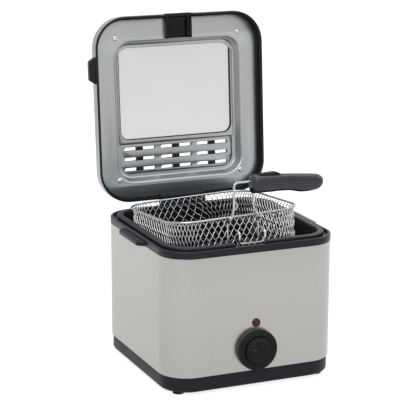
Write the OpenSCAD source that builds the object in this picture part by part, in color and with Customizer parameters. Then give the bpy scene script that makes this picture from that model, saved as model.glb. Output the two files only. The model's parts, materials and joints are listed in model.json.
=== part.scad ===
// Compact deep fryer: steel housing, fixed frying pot, window lid and a hanging wire basket
// with a folding handle. Millimetres, +Z up, front towards -Y. It stands as it drains: the lid
// is open against its stop and the basket hangs in the pot's front notch with its handle up.

/* [Housing] */
// Width of the steel housing, left to right
body_w = 208; // [196:1:236]
// Depth of the steel housing, front to back
body_d = 208; // [196:1:236]
// Corner radius of the housing seen from above
body_r = 34; // [28:1:42]
// Height of the steel wall
steel_h = 136.5; // [128:0.5:160]
// Thickness of the steel sheet
steel_t = 1; // [0.6:0.1:1.5]

/* [Base] */
// Height of a rubber foot
foot_h = 3.5; // [3.5:0.5:7]
// Radius of a rubber foot
foot_r = 6.5; // [5.5:0.5:8]
// Distance of a foot's axis from the side of the housing
foot_inset = 18.5; // [17:0.5:26]
// Visible height of the base tray
base_h = 18; // [14:0.5:24]
// Step from the steel wall in to the base tray
base_step = 1.5; // [1:0.5:4]

/* [Rim collar] */
// Height of the collar's outer wall above the steel
collar_h = 8; // [7:0.5:12]
// Width of the flat lip on top of the collar's wall
collar_lip = 3.4; // [2.5:0.1:5]
// Reach of a side grip beyond the housing
grip_reach = 8.5; // [6:0.5:14]
// Length of a side grip at its root
grip_len = 70; // [50:1:90]

/* [Pot] */
// Depth of the pot from its rim to its floor
pot_depth = 100.4; // [90:0.2:104]
// Thickness of the pot's wall and floor
pot_t = 1.8; // [1.2:0.1:2.5]
// Width of the raised ring around the pot's mouth
ring_w = 7.4; // [5:0.1:10]
// Distance from the housing's side to the ring
ring_inset = 6.4; // [5:0.1:9]
// Height of the ring above the collar
ring_up = 2.4; // [1:0.1:4]
// Width of the notch in the ring for the basket's handle
notch_w = 38; // [36:0.5:46]
// Sideways place of the notch's middle
notch_x = -4; // [-8:0.5:4]

/* [Lid] */
// Overhang of the lid in front of the housing
lid_front = 4.5; // [2:0.5:5]
// Overhang of the lid at each side of the housing
lid_side = 2.2; // [0.5:0.1:3]
// Distance of the hinge's near edge behind the housing
lid_back = 3; // [2:0.5:5]
// Corner radius of the lid
lid_r = 37.5; // [30:0.5:45]
// Height of the closed lid above its rim
lid_h = 27; // [25:0.5:34]
// Angle that the lid opens through
lid_angle = 94.2; // [80:0.1:100]
// Width of the lid's window
window_w = 144; // [110:1:148]
// Length of the lid's window, front to back
window_d = 112; // [80:1:112]

/* [Controls] */
// Height of the knob's axis
knob_z = 46.5; // [44:0.5:52]
// Radius of the control knob
knob_r = 23.5; // [18:0.5:24]
// Turn of the control knob from off to hottest
knob_turn = 270; // [180:10:320]
// Height of the signal lamp
lamp_z = 77; // [76:0.5:90]

/* [Basket] */
// Room beside the basket's rim, to the pot's left and right walls
basket_room_x = 11.45; // [11.2:0.05:20]
// Room before and behind the basket's rim, to the pot's front and back walls
basket_room_y = 12.9; // [12.2:0.1:25]
// Corner radius of the basket's rim
basket_r = 30; // [22:1:40]
// Height of the basket
basket_h = 62; // [50:1:75]
// Radius of the basket's rim wire
wire_r = 1.25; // [1:0.05:1.5]
// Fall of the hanging basket from front to back, in degrees
basket_tilt = 5.1; // [0:0.1:7]
// Drop from the draining place to the cooking place
basket_drop = 26.5; // [20:0.5:27]

/* [Handle] */
// Height of the handle's cross bar over its pivots
handle_rise = 40; // [38.5:0.5:46]
// Length of the plastic grip
grip_l = 86.5; // [80:0.5:100]
// Height of the grip at its root
grip_hgt = 21; // [18:0.5:22]
// Thickness of the grip
grip_thk = 17; // [14:0.5:20]
// Fall of the grip towards its tip, in degrees
grip_fall = 3; // [0:0.5:4]

/* [Hidden] */
$fn = 64;

play = 0.3;            // room between pieces that only lie together
running = 0.05;        // radial room of a shaft in its bore
frame_y = -13;       // the housing's middle from the middle of the whole open fryer

// heights
z_steel0 = foot_h + base_h;
z_steel1 = z_steel0 + steel_h;
z_rim = z_steel1 + collar_h;
z_ring = z_rim + ring_up;
z_pot0 = z_ring - pot_depth - pot_t;
tray_t = 2.5;
z_tray = foot_h + tray_t;

// pot mouth
ring_out_w = body_w - 2 * ring_inset;
ring_out_d = body_d - 2 * ring_inset;
ring_r = body_r - 2;
pot_w = ring_out_w - 2 * ring_w;
pot_d = ring_out_d - 2 * ring_w;
pot_r = ring_r - ring_w;
notch_z = z_ring - 4.4;

// base
base_w = body_w - 2 * base_step;
base_d = body_d - 2 * base_step;
base_r = body_r - base_step;
foot_x = body_w / 2 - foot_inset;
foot_y = body_d / 2 - foot_inset - 1.5;
post_x = 65;
post_y = 65;
post_r = 3.5;
screw_r = 2.1;
bottom_lip = 5;
top_lip = 6;
collar_w = body_w + 2 * play;
collar_d = body_d + 2 * play;
collar_r = body_r + play;

// heating
element_r = 58;
tube_r = 3.5;
z_tube = z_pot0 - 0.2 - tube_r;
z_spreader = z_tube - tube_r - 0.2;
spreader_t = 2;
shield_w = 156;
z_shield = z_spreader - 11;
stud_r = 3;

// front panel
panel_y = -body_d / 2;
shaft_r = 3;
bush_r = 4.9;
dial_t = 3;
knob_back = panel_y - dial_t - 0.4;
skirt_t = 3.6;
lamp_r = 4;

gland_x = -60;
block_y = body_d / 2 - 38;
block_d = 16;
lead_x = body_w / 2 - 20;
lead_y = body_d / 2 - 14;
gland_z = z_steel0 + 18;

// hinge
hinge_y = body_d / 2 + lid_back + 1;
hinge_z = z_rim + 9.4;
knuckle_r = 3.5;
pin_r = 2;
hinge_w = 58;
ear_w = 9;

// lid, given as it lies closed
z_lid = z_rim + 1;
lid_tail = 2.6;        // reach of the lid's back edge past the hinge's near edge
lid_w = body_w + 2 * lid_side;
lid_d = body_d + lid_front + lid_back + lid_tail;
lid_y = (lid_back + lid_tail - lid_front) / 2;
lid_y0 = lid_y - lid_d / 2;
edge_t = 1.4;
z_shell0 = z_lid + edge_t + 0.1;
z_shell1 = z_lid + lid_h;
frame_t = 1.6;
plate_up = 9.5;
z_plate = z_lid + plate_up;
plate_t = 0.8;
pocket_w = 162;
pocket_d = 167;
pocket_r = 22;
pocket_y = lid_y + 4;
z_pocket = z_shell1 - 5;
window_r = 11;
window_y = pocket_y - pocket_d / 2 + 5.5 + window_d / 2;
glass_t = 2.5;
glass_lap = 4;
slot_pitch_x = 47;
slot_pitch_y = 12.3;
slot_l = 40;
slot_h = 4.2;
slot_y = window_y + window_d / 2 + 23.5;
grille_bar = 8.2;
latch_w = 34;
latch_in = 27.5;
latch_up = 3.8;
latch_t = 1.8;
lid_screw_x = 78.5;
lid_screw_y1 = lid_y0 + 25;
lid_screw_y2 = lid_y0 + lid_d - 25.6;

// basket, hung in the notch
basket_w = pot_w - 2 * basket_room_x;
basket_d = pot_d - 2 * basket_room_y;
basket_x = -9.3;
basket_roll = 1.96;
basket_y = -2.3;
hang_z = z_ring + 19.2;
mesh_in = wire_r + play;
mesh_t = 1.2;
mesh_n = 8;            // openings across each wall and the floor
mesh_bar = 2.2;        // bar left between two openings
mesh_corner_n = 3;     // openings round each corner
mesh_rows = [[-2, -8.2], [-11.2, -23.6], [-26, -38.4], [-40.8, -53.2]];
hook_y = -(pot_d / 2 - play - wire_r);
hook_z = z_ring - 5.2;
hook_top = z_ring + 9.6;
hook_x = [-14.5, 16.5];

// handle
leg_r = 1.3;
pivot_y = hook_y + 2.3;
pivot_z = z_ring + 25.7;
leg_foot = [-22.4, 9.2];
leg_top = [-20.4, 2.9];
bend_z = pivot_z + 11.5;
bar_z = pivot_z + handle_rise;
eye_w = 2.6;
eye_r = 2.6;
flange_x = -1.4;
flange_t = 7;
grip_x = flange_x + flange_t;
grip_z = bar_z - 3;
slider_l = 26;
slide_run = 6;

// ---- shared shapes ----

// Rounded rectangle about the origin.
module outline(w, d, r) {
    square([w - 2 * r, d], center = true);
    square([w, d - 2 * r], center = true);
    for (x = [-1, 1], y = [-1, 1])
        translate([x * (w / 2 - r), y * (d / 2 - r)]) circle(r);
}

// Solid of that outline between two heights.
module slab(w, d, r, z0, z1) {
    translate([0, 0, z0]) linear_extrude(z1 - z0) outline(w, d, r);
}

// Wall of thickness t along the inside of that outline.
module wall(w, d, r, t, z0, z1) {
    translate([0, 0, z0]) linear_extrude(z1 - z0) difference() {
        outline(w, d, r);
        outline(w - 2 * t, d - 2 * t, max(r - t, 1));
    }
}

// Box between two corners.
module box(a, b) {
    translate(a) cube(b - a);
}

// Round bar along X, along Y or from one point to another.
module bar_x(x0, x1, r) {
    translate([x0, 0, 0]) rotate([0, 90, 0]) cylinder(h = x1 - x0, r = r);
}

module bar_y(y0, y1, r) {
    translate([0, y1, 0]) rotate([90, 0, 0]) cylinder(h = y1 - y0, r = r);
}

module rod(a, b, r) {
    v = b - a;
    l = norm(v);
    translate(a) rotate([0, acos(v.z / l), atan2(v.y, v.x)]) cylinder(h = l, r = r);
}

// Wire through a list of points, with a slightly fuller ball at each inner bend.
module wire(points, r) {
    for (i = [0:len(points) - 2]) rod(points[i], points[i + 1], r);
    if (len(points) > 2) for (i = [1:len(points) - 2]) translate(points[i]) sphere(r * 1.07);
}

// The housing's middle stands at frame_y.
module in_frame() {
    translate([0, frame_y, 0]) children();
}

// Turns what is given as closed to where the open lid carries it.
module lid_open() {
    in_frame() translate([0, hinge_y, hinge_z]) rotate([-lid_angle, 0, 0])
        translate([0, -hinge_y, -hinge_z]) children();
}

// The hanging basket's own frame: its rim's middle is the origin.
module hung() {
    in_frame() translate([basket_x, basket_y, hang_z]) rotate([-basket_tilt, -basket_roll, 0])
        children();
}

module feet_places() {
    for (x = [-1, 1], y = [-1, 1]) translate([x * foot_x, y * foot_y, 0]) children();
}

module post_places() {
    for (x = [-1, 1], y = [-1, 1]) translate([x * post_x, y * post_y, 0]) children();
}

module lid_screw_places() {
    for (x = [-1, 1], y = [lid_screw_y1, lid_screw_y2])
        translate([x * lid_screw_x, y, 0]) children();
}

module slot_places() {
    for (i = [-1:1], j = [-1:1])
        translate([i * slot_pitch_x, slot_y + j * slot_pitch_y, 0]) children();
}

// Room in the lid's edge for the hinge ears, and for the handle's legs in front.
module lid_edge_gaps() {
    box([-hinge_w / 2 - 1, hinge_y - 12, z_lid - 1],
        [hinge_w / 2 + 1, hinge_y + 12, hinge_z + knuckle_r + 0.4]);
    box([leg_foot[0] - leg_r - 0.6, lid_y0 - 2, z_lid - 1],
        [latch_w / 2 + play, lid_y0 + 12, z_lid + latch_up]);
    box([-latch_w / 2 - play, lid_y0 - 2, z_lid - 1],
        [latch_w / 2 + play, lid_y0 + 12, z_lid + latch_up + latch_t + 0.1]);
}

// ---- base ----

module base_tray() {
    in_frame() color([0.09, 0.09, 0.09]) difference() {
        union() {
            wall(base_w, base_d, base_r, 4, foot_h, z_steel0);
            slab(base_w, base_d, base_r, foot_h, z_tray);
            wall(body_w - 2 * (bottom_lip + play), body_d - 2 * (bottom_lip + play),
                body_r - bottom_lip - play, 2, z_tray, z_steel0 + 6);
            feet_places() translate([0, 0, z_tray]) cylinder(h = 8, r = 4.5);
            post_places() translate([0, 0, z_tray]) cylinder(h = 4, r = 6);
        }
        feet_places() translate([0, 0, foot_h - 1]) cylinder(h = 10, r = screw_r + running);
        for (i = [-3:3]) translate([0, i * 14, foot_h - 1])
            linear_extrude(tray_t + 2) square([70, 4], center = true);
    }
}

module rubber_feet() {
    in_frame() color([0.05, 0.05, 0.05]) feet_places() difference() {
        cylinder(h = foot_h, r = foot_r);
        translate([0, 0, -1]) cylinder(h = foot_h + 2, r = screw_r + 0.1);
        translate([0, 0, -1]) cylinder(h = 3.2, r = 4);
    }
}

module foot_screws() {
    in_frame() color([0.6, 0.6, 0.6]) feet_places() {
        translate([0, 0, 0.6]) cylinder(h = 1.6, r = 3.7);
        translate([0, 0, 2]) cylinder(h = foot_h + 5, r = screw_r);
    }
}

// ---- housing ----

module steel_housing() {
    in_frame() color([0.72, 0.71, 0.68]) difference() {
        union() {
            wall(body_w, body_d, body_r, steel_t, z_steel0, z_steel1);
            wall(body_w, body_d, body_r, bottom_lip, z_steel0, z_steel0 + steel_t);
            wall(body_w, body_d, body_r, top_lip, z_steel1 - steel_t, z_steel1);
        }
        translate([0, 0, knob_z]) bar_y(panel_y - 2, panel_y + 3, bush_r + 0.2);
        translate([0, 0, lamp_z]) bar_y(panel_y - 2, panel_y + 3, lamp_r + 0.2);
        translate([gland_x, 0, gland_z]) bar_y(-panel_y - 3, -panel_y + 2, 8);
    }
}

module rim_collar() {
    inner = (collar_w - pot_w) / 2 - pot_t - play;
    in_frame() color([0.08, 0.08, 0.08]) union() {
        wall(collar_w, collar_d, collar_r, collar_lip, z_steel1, z_rim);
        wall(collar_w, collar_d, collar_r, ring_inset - 0.2, z_steel1, z_rim - 3.5);
        wall(collar_w, collar_d, collar_r, inner, z_steel1, z_ring - 5.6);
        wall(body_w - 2 * (top_lip + play), body_d - 2 * (top_lip + play),
            body_r - top_lip - play, 2, z_steel1 - 9, z_steel1 + 1);
        for (s = [-1, 1]) translate([s * (collar_w / 2 - 1), 0, z_steel1])
            linear_extrude(5) polygon([[0, -grip_len / 2], [0, grip_len / 2],
                [s * (grip_reach + 0.7), grip_len / 2 - 8],
                [s * (grip_reach + 0.7), 8 - grip_len / 2]]);
    }
}

module oil_pot() {
    in_frame() color([0.12, 0.12, 0.12]) difference() {
        union() {
            slab(ring_out_w, ring_out_d, ring_r, z_ring - 5.4, z_ring);
            slab(pot_w + 2 * pot_t, pot_d + 2 * pot_t, pot_r + pot_t, z_pot0, z_ring - 4);
            translate([0, 0, z_spreader - 8]) cylinder(h = z_pot0 - z_spreader + 9, r = stud_r);
        }
        slab(pot_w, pot_d, pot_r, z_pot0 + pot_t, z_ring + 1);
        box([notch_x - notch_w / 2, -ring_out_d / 2 - 1, notch_z],
            [notch_x + notch_w / 2, -pot_d / 2 + 1, z_ring + 1]);
    }
}

module pot_posts() {
    in_frame() color([0.65, 0.65, 0.65]) post_places()
        translate([0, 0, z_tray + 4]) cylinder(h = z_pot0 - z_tray - 4, r = post_r);
}

// ---- heating and wiring ----

module heating_element() {
    in_frame() color([0.35, 0.33, 0.32]) union() {
        translate([0, 0, z_tube]) rotate([0, 0, 105]) rotate_extrude(angle = 330)
            translate([element_r, 0]) circle(tube_r);
        for (a = [75, 105]) rotate([0, 0, a]) translate([element_r, 0, z_tube - 19])
            cylinder(h = 19, r = tube_r);
    }
}

module heat_spreader() {
    in_frame() color([0.75, 0.75, 0.76]) difference() {
        translate([0, 0, z_spreader - spreader_t]) cylinder(h = spreader_t, r = element_r + 12);
        translate([0, 0, z_spreader - 5]) cylinder(h = 9, r = stud_r + 0.15);
        for (a = [75, 105]) rotate([0, 0, a]) translate([element_r, 0, z_spreader - 5])
            cylinder(h = 9, r = tube_r + 0.3);
    }
}

module element_nut() {
    in_frame() color([0.7, 0.7, 0.7]) translate([0, 0, z_spreader - spreader_t - 5])
        difference() {
            cylinder(h = 5, r = 5.5, $fn = 6);
            translate([0, 0, -1]) cylinder(h = 7, r = stud_r + 0.05);
        }
}

module heat_shield() {
    in_frame() color([0.7, 0.7, 0.7]) difference() {
        union() {
            slab(shield_w, shield_w, 16, z_shield - 1, z_shield);
            wall(shield_w, shield_w, 16, 1, z_shield - 1, z_shield + 6);
        }
        post_places() translate([0, 0, z_shield - 3]) cylinder(h = 6, r = post_r + 0.1);
        for (a = [75, 105]) rotate([0, 0, a]) translate([element_r, 0, z_shield - 3])
            cylinder(h = 6, r = tube_r + 2);
    }
}

module thermal_cutout() {
    in_frame() color([0.85, 0.83, 0.78]) translate([26, 26, z_spreader - spreader_t - 6])
        cylinder(h = 6, r = 8);
}

module thermostat_body() {
    in_frame() color([0.8, 0.78, 0.72]) difference() {
        union() {
            box([-15, panel_y + steel_t + 0.2, knob_z - 14],
                [15, panel_y + 24, knob_z + 12]);
            translate([0, 0, knob_z]) bar_y(panel_y - dial_t - 1.2, panel_y + 3, bush_r);
        }
        translate([0, 0, knob_z]) bar_y(panel_y - 20, panel_y + 18, shaft_r + running);
    }
}

module temperature_probe() {
    in_frame() color([0.7, 0.55, 0.4])
        translate([0, -38, z_pot0 - 0.2 - 3]) bar_x(-24, 24, 3);
}

module terminal_block() {
    in_frame() color([0.9, 0.9, 0.86]) difference() {
        box([-54, block_y, z_tray], [-22, block_y + block_d, z_tray + 12]);
        for (x = [-48, -38, -28]) translate([x, block_y + 10, z_tray + 6]) cylinder(h = 9, r = 2);
    }
}

module wiring() {
    lead_r = 1.2;
    top = z_tray + 12 + lead_r;
    in_frame() color([0.75, 0.1, 0.1]) {
        wire([[-48, block_y + 6, top], [-lead_x, block_y + 6, top], [-lead_x, -60, top],
            [-lead_x, -lead_y, knob_z], [-15 - lead_r, -lead_y, knob_z]], lead_r);
        wire([[-28, block_y + 6, top], [-20, 60, top], [-element_r * 0.2588, element_r * 0.9659,
            z_tube - 19 - lead_r]], lead_r);
        wire([[15 + lead_r, -lead_y, knob_z], [lead_x, -lead_y, knob_z], [lead_x, 30, top],
            [40, 58, top],
            [element_r * 0.2588, element_r * 0.9659, z_tube - 19 - lead_r]], lead_r);
    }
}

module cord_gland() {
    in_frame() color([0.1, 0.1, 0.1]) translate([gland_x, 0, gland_z]) difference() {
        union() {
            bar_y(-panel_y - 9, -panel_y + 1, 7.8);
            bar_y(-panel_y, -panel_y + 3, 11);
        }
        bar_y(-panel_y - 12, -panel_y + 8, 3.6);
    }
}

// ---- front panel ----

module dial_ring() {
    in_frame() color([0.13, 0.12, 0.11]) translate([0, 0, knob_z]) difference() {
        bar_y(panel_y - dial_t, panel_y, knob_r + 0.5);
        bar_y(panel_y - dial_t - 2, panel_y + 2, 7);
    }
}

module lamp_lens() {
    in_frame() color([0.45, 0.04, 0.03]) translate([0, 0, lamp_z]) union() {
        bar_y(panel_y - 1, panel_y + 5, lamp_r);
        bar_y(panel_y - 1.3, panel_y, lamp_r + 0.9);
        bar_y(panel_y - 2.6, panel_y - 1, lamp_r - 0.4);
    }
}

module lamp_holder() {
    in_frame() color([0.85, 0.83, 0.78]) translate([0, 0, lamp_z]) difference() {
        bar_y(panel_y + steel_t + 0.1, panel_y + 9.5, lamp_r + 2);
        bar_y(panel_y, panel_y + 5.5, lamp_r + 0.05);
    }
}

module control_knob() {
    in_frame() color([0.06, 0.06, 0.06]) translate([0, 0, knob_z]) difference() {
        union() {
            bar_y(knob_back - skirt_t, knob_back, knob_r);
            bar_y(knob_back - skirt_t - 2.4, knob_back - 1, knob_r * 0.72);
            bar_y(knob_back - skirt_t - 4.4, knob_back - 1, knob_r * 0.5);
        }
        bar_y(knob_back - 2, knob_back + 1, 8);
        bar_y(knob_back - skirt_t - 2.6, knob_back, shaft_r + 0.02);
    }
}

module thermostat_shaft() {
    in_frame() color([0.6, 0.6, 0.6]) translate([0, 0, knob_z])
        bar_y(knob_back - skirt_t - 2.4, panel_y + 17, shaft_r);
}

// ---- hinge ----

module hinge_bracket() {
    in_frame() color([0.08, 0.08, 0.08]) difference() {
        union() {
            box([-hinge_w / 2, collar_d / 2, z_steel1 + 1],
                [hinge_w / 2, hinge_y + knuckle_r, hinge_z - knuckle_r - 0.4]);
            for (x = [-hinge_w / 2, hinge_w / 2 - ear_w]) {
                box([x, collar_d / 2, z_steel1 + 1],
                    [x + ear_w, hinge_y + knuckle_r, hinge_z]);
                translate([0, hinge_y, hinge_z]) bar_x(x, x + ear_w, knuckle_r);
            }
        }
        translate([0, hinge_y, hinge_z])
            bar_x(-hinge_w / 2 - 1, hinge_w / 2 + 1, pin_r + running);
    }
}

module hinge_pin() {
    in_frame() color([0.7, 0.7, 0.7]) translate([0, hinge_y, hinge_z])
        bar_x(-hinge_w / 2 + 0.5, hinge_w / 2 - 0.5, pin_r);
}

// ---- lid ----

// The lid's outer form, in levels of [inset, distance below the top], grown or shrunk by g.
lid_levels = [[0, 15], [2.4, 9.5], [6.5, 4], [13, 0]];
module lid_form(g, z0, z1) {
    hull() for (level = lid_levels)
        slab(lid_w + 2 * (g - level[0]), lid_d + 2 * (g - level[0]), lid_r + g - level[0],
            z0, z1 - level[1]);
}

module lid_shell() {
    post_h = z_shell1 - steel_t - z_plate - plate_t + 0.5;
    lid_open() color([0.72, 0.72, 0.7]) difference() {
        union() {
            translate([0, lid_y, 0]) difference() {
                lid_form(0, z_shell0, z_shell1);
                lid_form(-steel_t, z_shell0 - 1, z_shell1 - steel_t);
            }
            lid_screw_places() translate([0, 0, z_plate + plate_t]) cylinder(h = post_h, r = 3);
        }
        translate([0, window_y, 0])
            slab(window_w + 6, window_d + 6, window_r + 3, z_shell1 - 4, z_shell1 + 2);
        translate([0, slot_y, 0])
            slab(grille_w() + play, grille_d() + play, 6, z_shell1 - 4, z_shell1 + 2);
        lid_screw_places() translate([0, 0, z_plate]) cylinder(h = 9, r = 1.7 + running);
        lid_edge_gaps();
    }
}

function grille_w() = 2 * slot_pitch_x + slot_l + 12;
function grille_d() = 2 * slot_pitch_y + slot_h + 5;

module lid_frame() {
    lid_open() color([0.07, 0.07, 0.07]) difference() {
        translate([0, lid_y, 0]) union() {
            wall(lid_w, lid_d, lid_r, steel_t + frame_t, z_lid, z_lid + edge_t);
            wall(lid_w - 2 * (steel_t + 0.2), lid_d - 2 * (steel_t + 0.2),
                lid_r - steel_t - 0.2, frame_t - 0.2, z_lid, z_plate - 0.05);
        }
        lid_edge_gaps();
    }
}

module lid_seal() {
    in = steel_t + frame_t + 0.05;
    lid_open() color([0.05, 0.05, 0.05]) difference() {
        translate([0, lid_y, 0])
            wall(lid_w - 2 * in, lid_d - 2 * in, lid_r - in, 1.6, z_lid + 5.8, z_lid + 8.8);
        lid_edge_gaps();
    }
}

module lid_inner_plate() {
    lid_open() color([0.55, 0.57, 0.57]) difference() {
        union() {
            translate([0, lid_y, 0]) slab(lid_w - 2 * steel_t - 0.6, lid_d - 2 * steel_t - 0.6,
                lid_r - steel_t - 0.3, z_plate, z_plate + plate_t);
            translate([0, pocket_y, 0])
                slab(pocket_w + 2 * plate_t, pocket_d + 2 * plate_t, pocket_r + plate_t,
                    z_plate, z_pocket + plate_t);
        }
        translate([0, pocket_y, 0])
            slab(pocket_w, pocket_d, pocket_r, z_plate - 1, z_pocket);
        translate([0, window_y, 0])
            slab(window_w, window_d, window_r, z_pocket - 1, z_pocket + 3);
        slot_places() translate([0, 0, z_pocket - 1]) linear_extrude(4)
            square([slot_l, slot_h], center = true);
        lid_screw_places() translate([0, 0, z_plate - 1]) cylinder(h = 4, r = 1.9);
        box([-hinge_w / 2 - 1, hinge_y - knuckle_r - 1, z_plate - 1],
            [hinge_w / 2 + 1, hinge_y + 12, z_plate + 3]);
    }
}

module lid_window() {
    lid_open() color([0.8, 0.85, 0.85, 0.35]) translate([0, window_y, 0])
        slab(window_w + 2 * glass_lap, window_d + 2 * glass_lap, window_r + glass_lap,
            z_pocket + plate_t + 0.1, z_pocket + plate_t + 0.1 + glass_t);
}

module window_gasket() {
    seal_w = 2.2;
    g = glass_lap + 0.1 + seal_w;
    lid_open() color([0.05, 0.05, 0.05]) translate([0, window_y, 0])
        wall(window_w + 2 * g, window_d + 2 * g, window_r + g, seal_w,
            z_pocket + plate_t, z_shell1 - steel_t);
}

module vent_grille() {
    lid_open() color([0.06, 0.06, 0.06]) difference() {
        translate([0, slot_y, 0])
            slab(grille_w(), grille_d(), 6, z_pocket + plate_t + 0.1, z_shell1 + 0.6);
        slot_places() for (s = [-1, 1])
            translate([s * (slot_l + grille_bar) / 4, 0, z_pocket]) linear_extrude(12)
                square([(slot_l - grille_bar) / 2, slot_h], center = true);
    }
}

module lid_latch() {
    z0 = z_lid + latch_up;
    lid_open() color([0.06, 0.06, 0.06]) union() {
        box([-latch_w / 2, lid_y0 - 1.4, z0], [latch_w / 2, lid_y0 + latch_in, z0 + latch_t]);
        box([-latch_w / 2, lid_y0 + steel_t + frame_t + 2, z0],
            [latch_w / 2, lid_y0 + latch_in, z_plate - 0.1]);
        box([-latch_w / 2, lid_y0 - 1.4, z0], [latch_w / 2, lid_y0 - 0.05, z_lid + 11]);
    }
}

module lid_side_tab() {
    lid_open() color([0.08, 0.08, 0.08])
        translate([-lid_w / 2, lid_y0 + 60.5, z_lid + 3]) linear_extrude(6)
            polygon([[0, -16], [-7.8, -11], [-7.8, 11], [0, 16]]);
}

module lid_hinge_arm() {
    lid_open() color([0.08, 0.08, 0.08]) difference() {
        union() {
            translate([0, hinge_y, hinge_z])
                bar_x(ear_w + 0.4 - hinge_w / 2, hinge_w / 2 - ear_w - 0.4, knuckle_r);
            box([ear_w + 0.4 - hinge_w / 2, hinge_y - 12, hinge_z + 2],
                [hinge_w / 2 - ear_w - 0.4, hinge_y, hinge_z + knuckle_r]);
        }
        translate([0, hinge_y, hinge_z]) bar_x(-hinge_w / 2, hinge_w / 2, pin_r + running);
    }
}

module lid_screws() {
    lid_open() color([0.75, 0.75, 0.73]) lid_screw_places() {
        translate([0, 0, z_plate - 1.5]) cylinder(h = 1.5, r = 3.1);
        translate([0, 0, z_plate - 0.5]) cylinder(h = 8, r = 1.7);
    }
}

// ---- basket ----

module basket_rim() {
    w = basket_w / 2 - basket_r;
    d = basket_d / 2 - basket_r;
    hung() color([0.8, 0.8, 0.8]) union() {
        for (a = [0:3]) {
            along = a % 2 == 0 ? w : d;
            out = a % 2 == 0 ? d : w;
            rotate([0, 0, a * 90]) translate([0, out + basket_r, 0])
                bar_x(-along, along, wire_r);
            rotate([0, 0, a * 90]) translate([along, out, 0]) rotate_extrude(angle = 90)
                translate([basket_r, 0]) circle(wire_r);
        }
    }
}

module basket_mesh() {
    w = basket_w - 2 * mesh_in;
    d = basket_d - 2 * mesh_in;
    r = basket_r - mesh_in;
    hung() color([0.75, 0.75, 0.75]) difference() {
        slab(w, d, r, -basket_h, 0.2);
        slab(w - 2 * mesh_t, d - 2 * mesh_t, r - mesh_t, -basket_h + mesh_t, 1);
        mesh_openings(w, d, r);
    }
}

// Openings through the four walls, the four corners and the floor.
module mesh_openings(w, d, r) {
    straight_x = w - 2 * r;
    straight_y = d - 2 * r;
    step_x = straight_x / mesh_n;
    step_y = straight_y / mesh_n;
    half = mesh_bar / 2;
    for (z = mesh_rows, i = [0:mesh_n - 1]) {
        box([i * step_x - straight_x / 2 + half, -d, z[1]],
            [(i + 1) * step_x - straight_x / 2 - half, d, z[0]]);
        box([-w, i * step_y - straight_y / 2 + half, z[1]],
            [w, (i + 1) * step_y - straight_y / 2 - half, z[0]]);
    }
    gap = r * PI / 2 / mesh_corner_n - mesh_bar;
    for (z = mesh_rows, q = [0:3], i = [0:mesh_corner_n - 1])
        rotate([0, 0, q * 90]) translate([q % 2 == 0 ? straight_x / 2 : straight_y / 2,
            q % 2 == 0 ? straight_y / 2 : straight_x / 2, 0])
            rotate([0, 0, (i + 0.5) * 90 / mesh_corner_n])
            box([r - 5, -gap / 2, z[1]], [r + 5, gap / 2, z[0]]);
    for (i = [0:mesh_n - 1], j = [0:mesh_n - 1])
        box([i * step_x - straight_x / 2 + half, j * step_y - straight_y / 2 + half,
            -basket_h - 1], [(i + 1) * step_x - straight_x / 2 - half,
            (j + 1) * step_y - straight_y / 2 - half, -basket_h + 4]);
}

module basket_hook() {
    end = front_face(hook_top) - play;
    in_frame() color([0.8, 0.8, 0.8]) wire([[hook_x[0], end, hook_top],
        [hook_x[0], hook_y, hook_top], [hook_x[0], hook_y, hook_z],
        [hook_x[1], hook_y, hook_z], [hook_x[1], hook_y, hook_top],
        [hook_x[1], end, hook_top]], wire_r);
}

// Place of the hanging basket's front face at height z.
function front_face(z) = basket_y - (basket_d / 2 - mesh_in) / cos(basket_tilt)
    + (z - hang_z) * tan(basket_tilt);

// Two loops on the basket's front wall, each with an eye that a leg of the handle turns in.
module handle_brackets() {
    in_frame() color([0.8, 0.8, 0.8]) difference() {
        for (i = [0, 1]) {
            s = i == 0 ? -1 : 1;
            x0 = leg_foot[i] + s * leg_r;
            xe = s * (eye_w / 2 + 0.1) + x0;
            translate([0, pivot_y, pivot_z]) bar_x(xe - eye_w / 2, xe + eye_w / 2, eye_r);
            wire([[xe, pivot_y + 2.2, pivot_z - 0.6],
                for (z = [pivot_z - 6, pivot_z - 36]) [xe, front_face(z) - 1 - play, z]], 1);
        }
        translate([0, pivot_y, pivot_z]) bar_x(-60, 60, leg_r + running);
    }
}

// ---- handle ----

module handle_wire() {
    yz = [pivot_y, pivot_z];
    in_frame() color([0.82, 0.82, 0.82])
        wire([[leg_foot[0] - leg_r - eye_w - 0.3, yz[0], yz[1]], [leg_foot[0], yz[0], yz[1]],
            [leg_top[0], yz[0], bend_z], [leg_top[0], yz[0], bar_z],
            [leg_top[1], yz[0], bar_z], [leg_top[1], yz[0], bend_z],
            [leg_foot[1], yz[0], yz[1]],
            [leg_foot[1] + leg_r + eye_w + 0.3, yz[0], yz[1]]], leg_r);
}

// The grip's own frame: its root's middle is the origin and it runs along +X.
module at_grip() {
    in_frame() translate([grip_x, pivot_y, grip_z]) rotate([0, grip_fall, 0]) children();
}

// Half of the grip's solid: s is 1 for the upper half and -1 for the lower.
module grip_half(s) {
    h = grip_hgt / 2;
    sink = s > 0 ? 0 : 1.4;
    at_grip() intersection() {
        hull() {
            for (p = [[6, h], [grip_l * 0.35, h * 0.9], [grip_l * 0.75, h]])
                translate([p[0], 0, 0]) scale([1, grip_thk / 2 / p[1], 1])
                    rotate([0, 90, 0]) cylinder(h = 1, r = p[1], $fn = 32);
            rotate([0, 90, 0]) scale([1, grip_thk / grip_hgt, 1])
                cylinder(h = 1, r = h, $fn = 32);
            translate([grip_l - h, 0, -0.1 - sink / 2]) scale([1, 0.8, 0.92])
                sphere(h, $fn = 24);
        }
        box([-1, -20, s > 0 ? 0.05 : -20], [grip_l + 2, 20, s > 0 ? 20 : -0.05]);
    }
}

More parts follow.
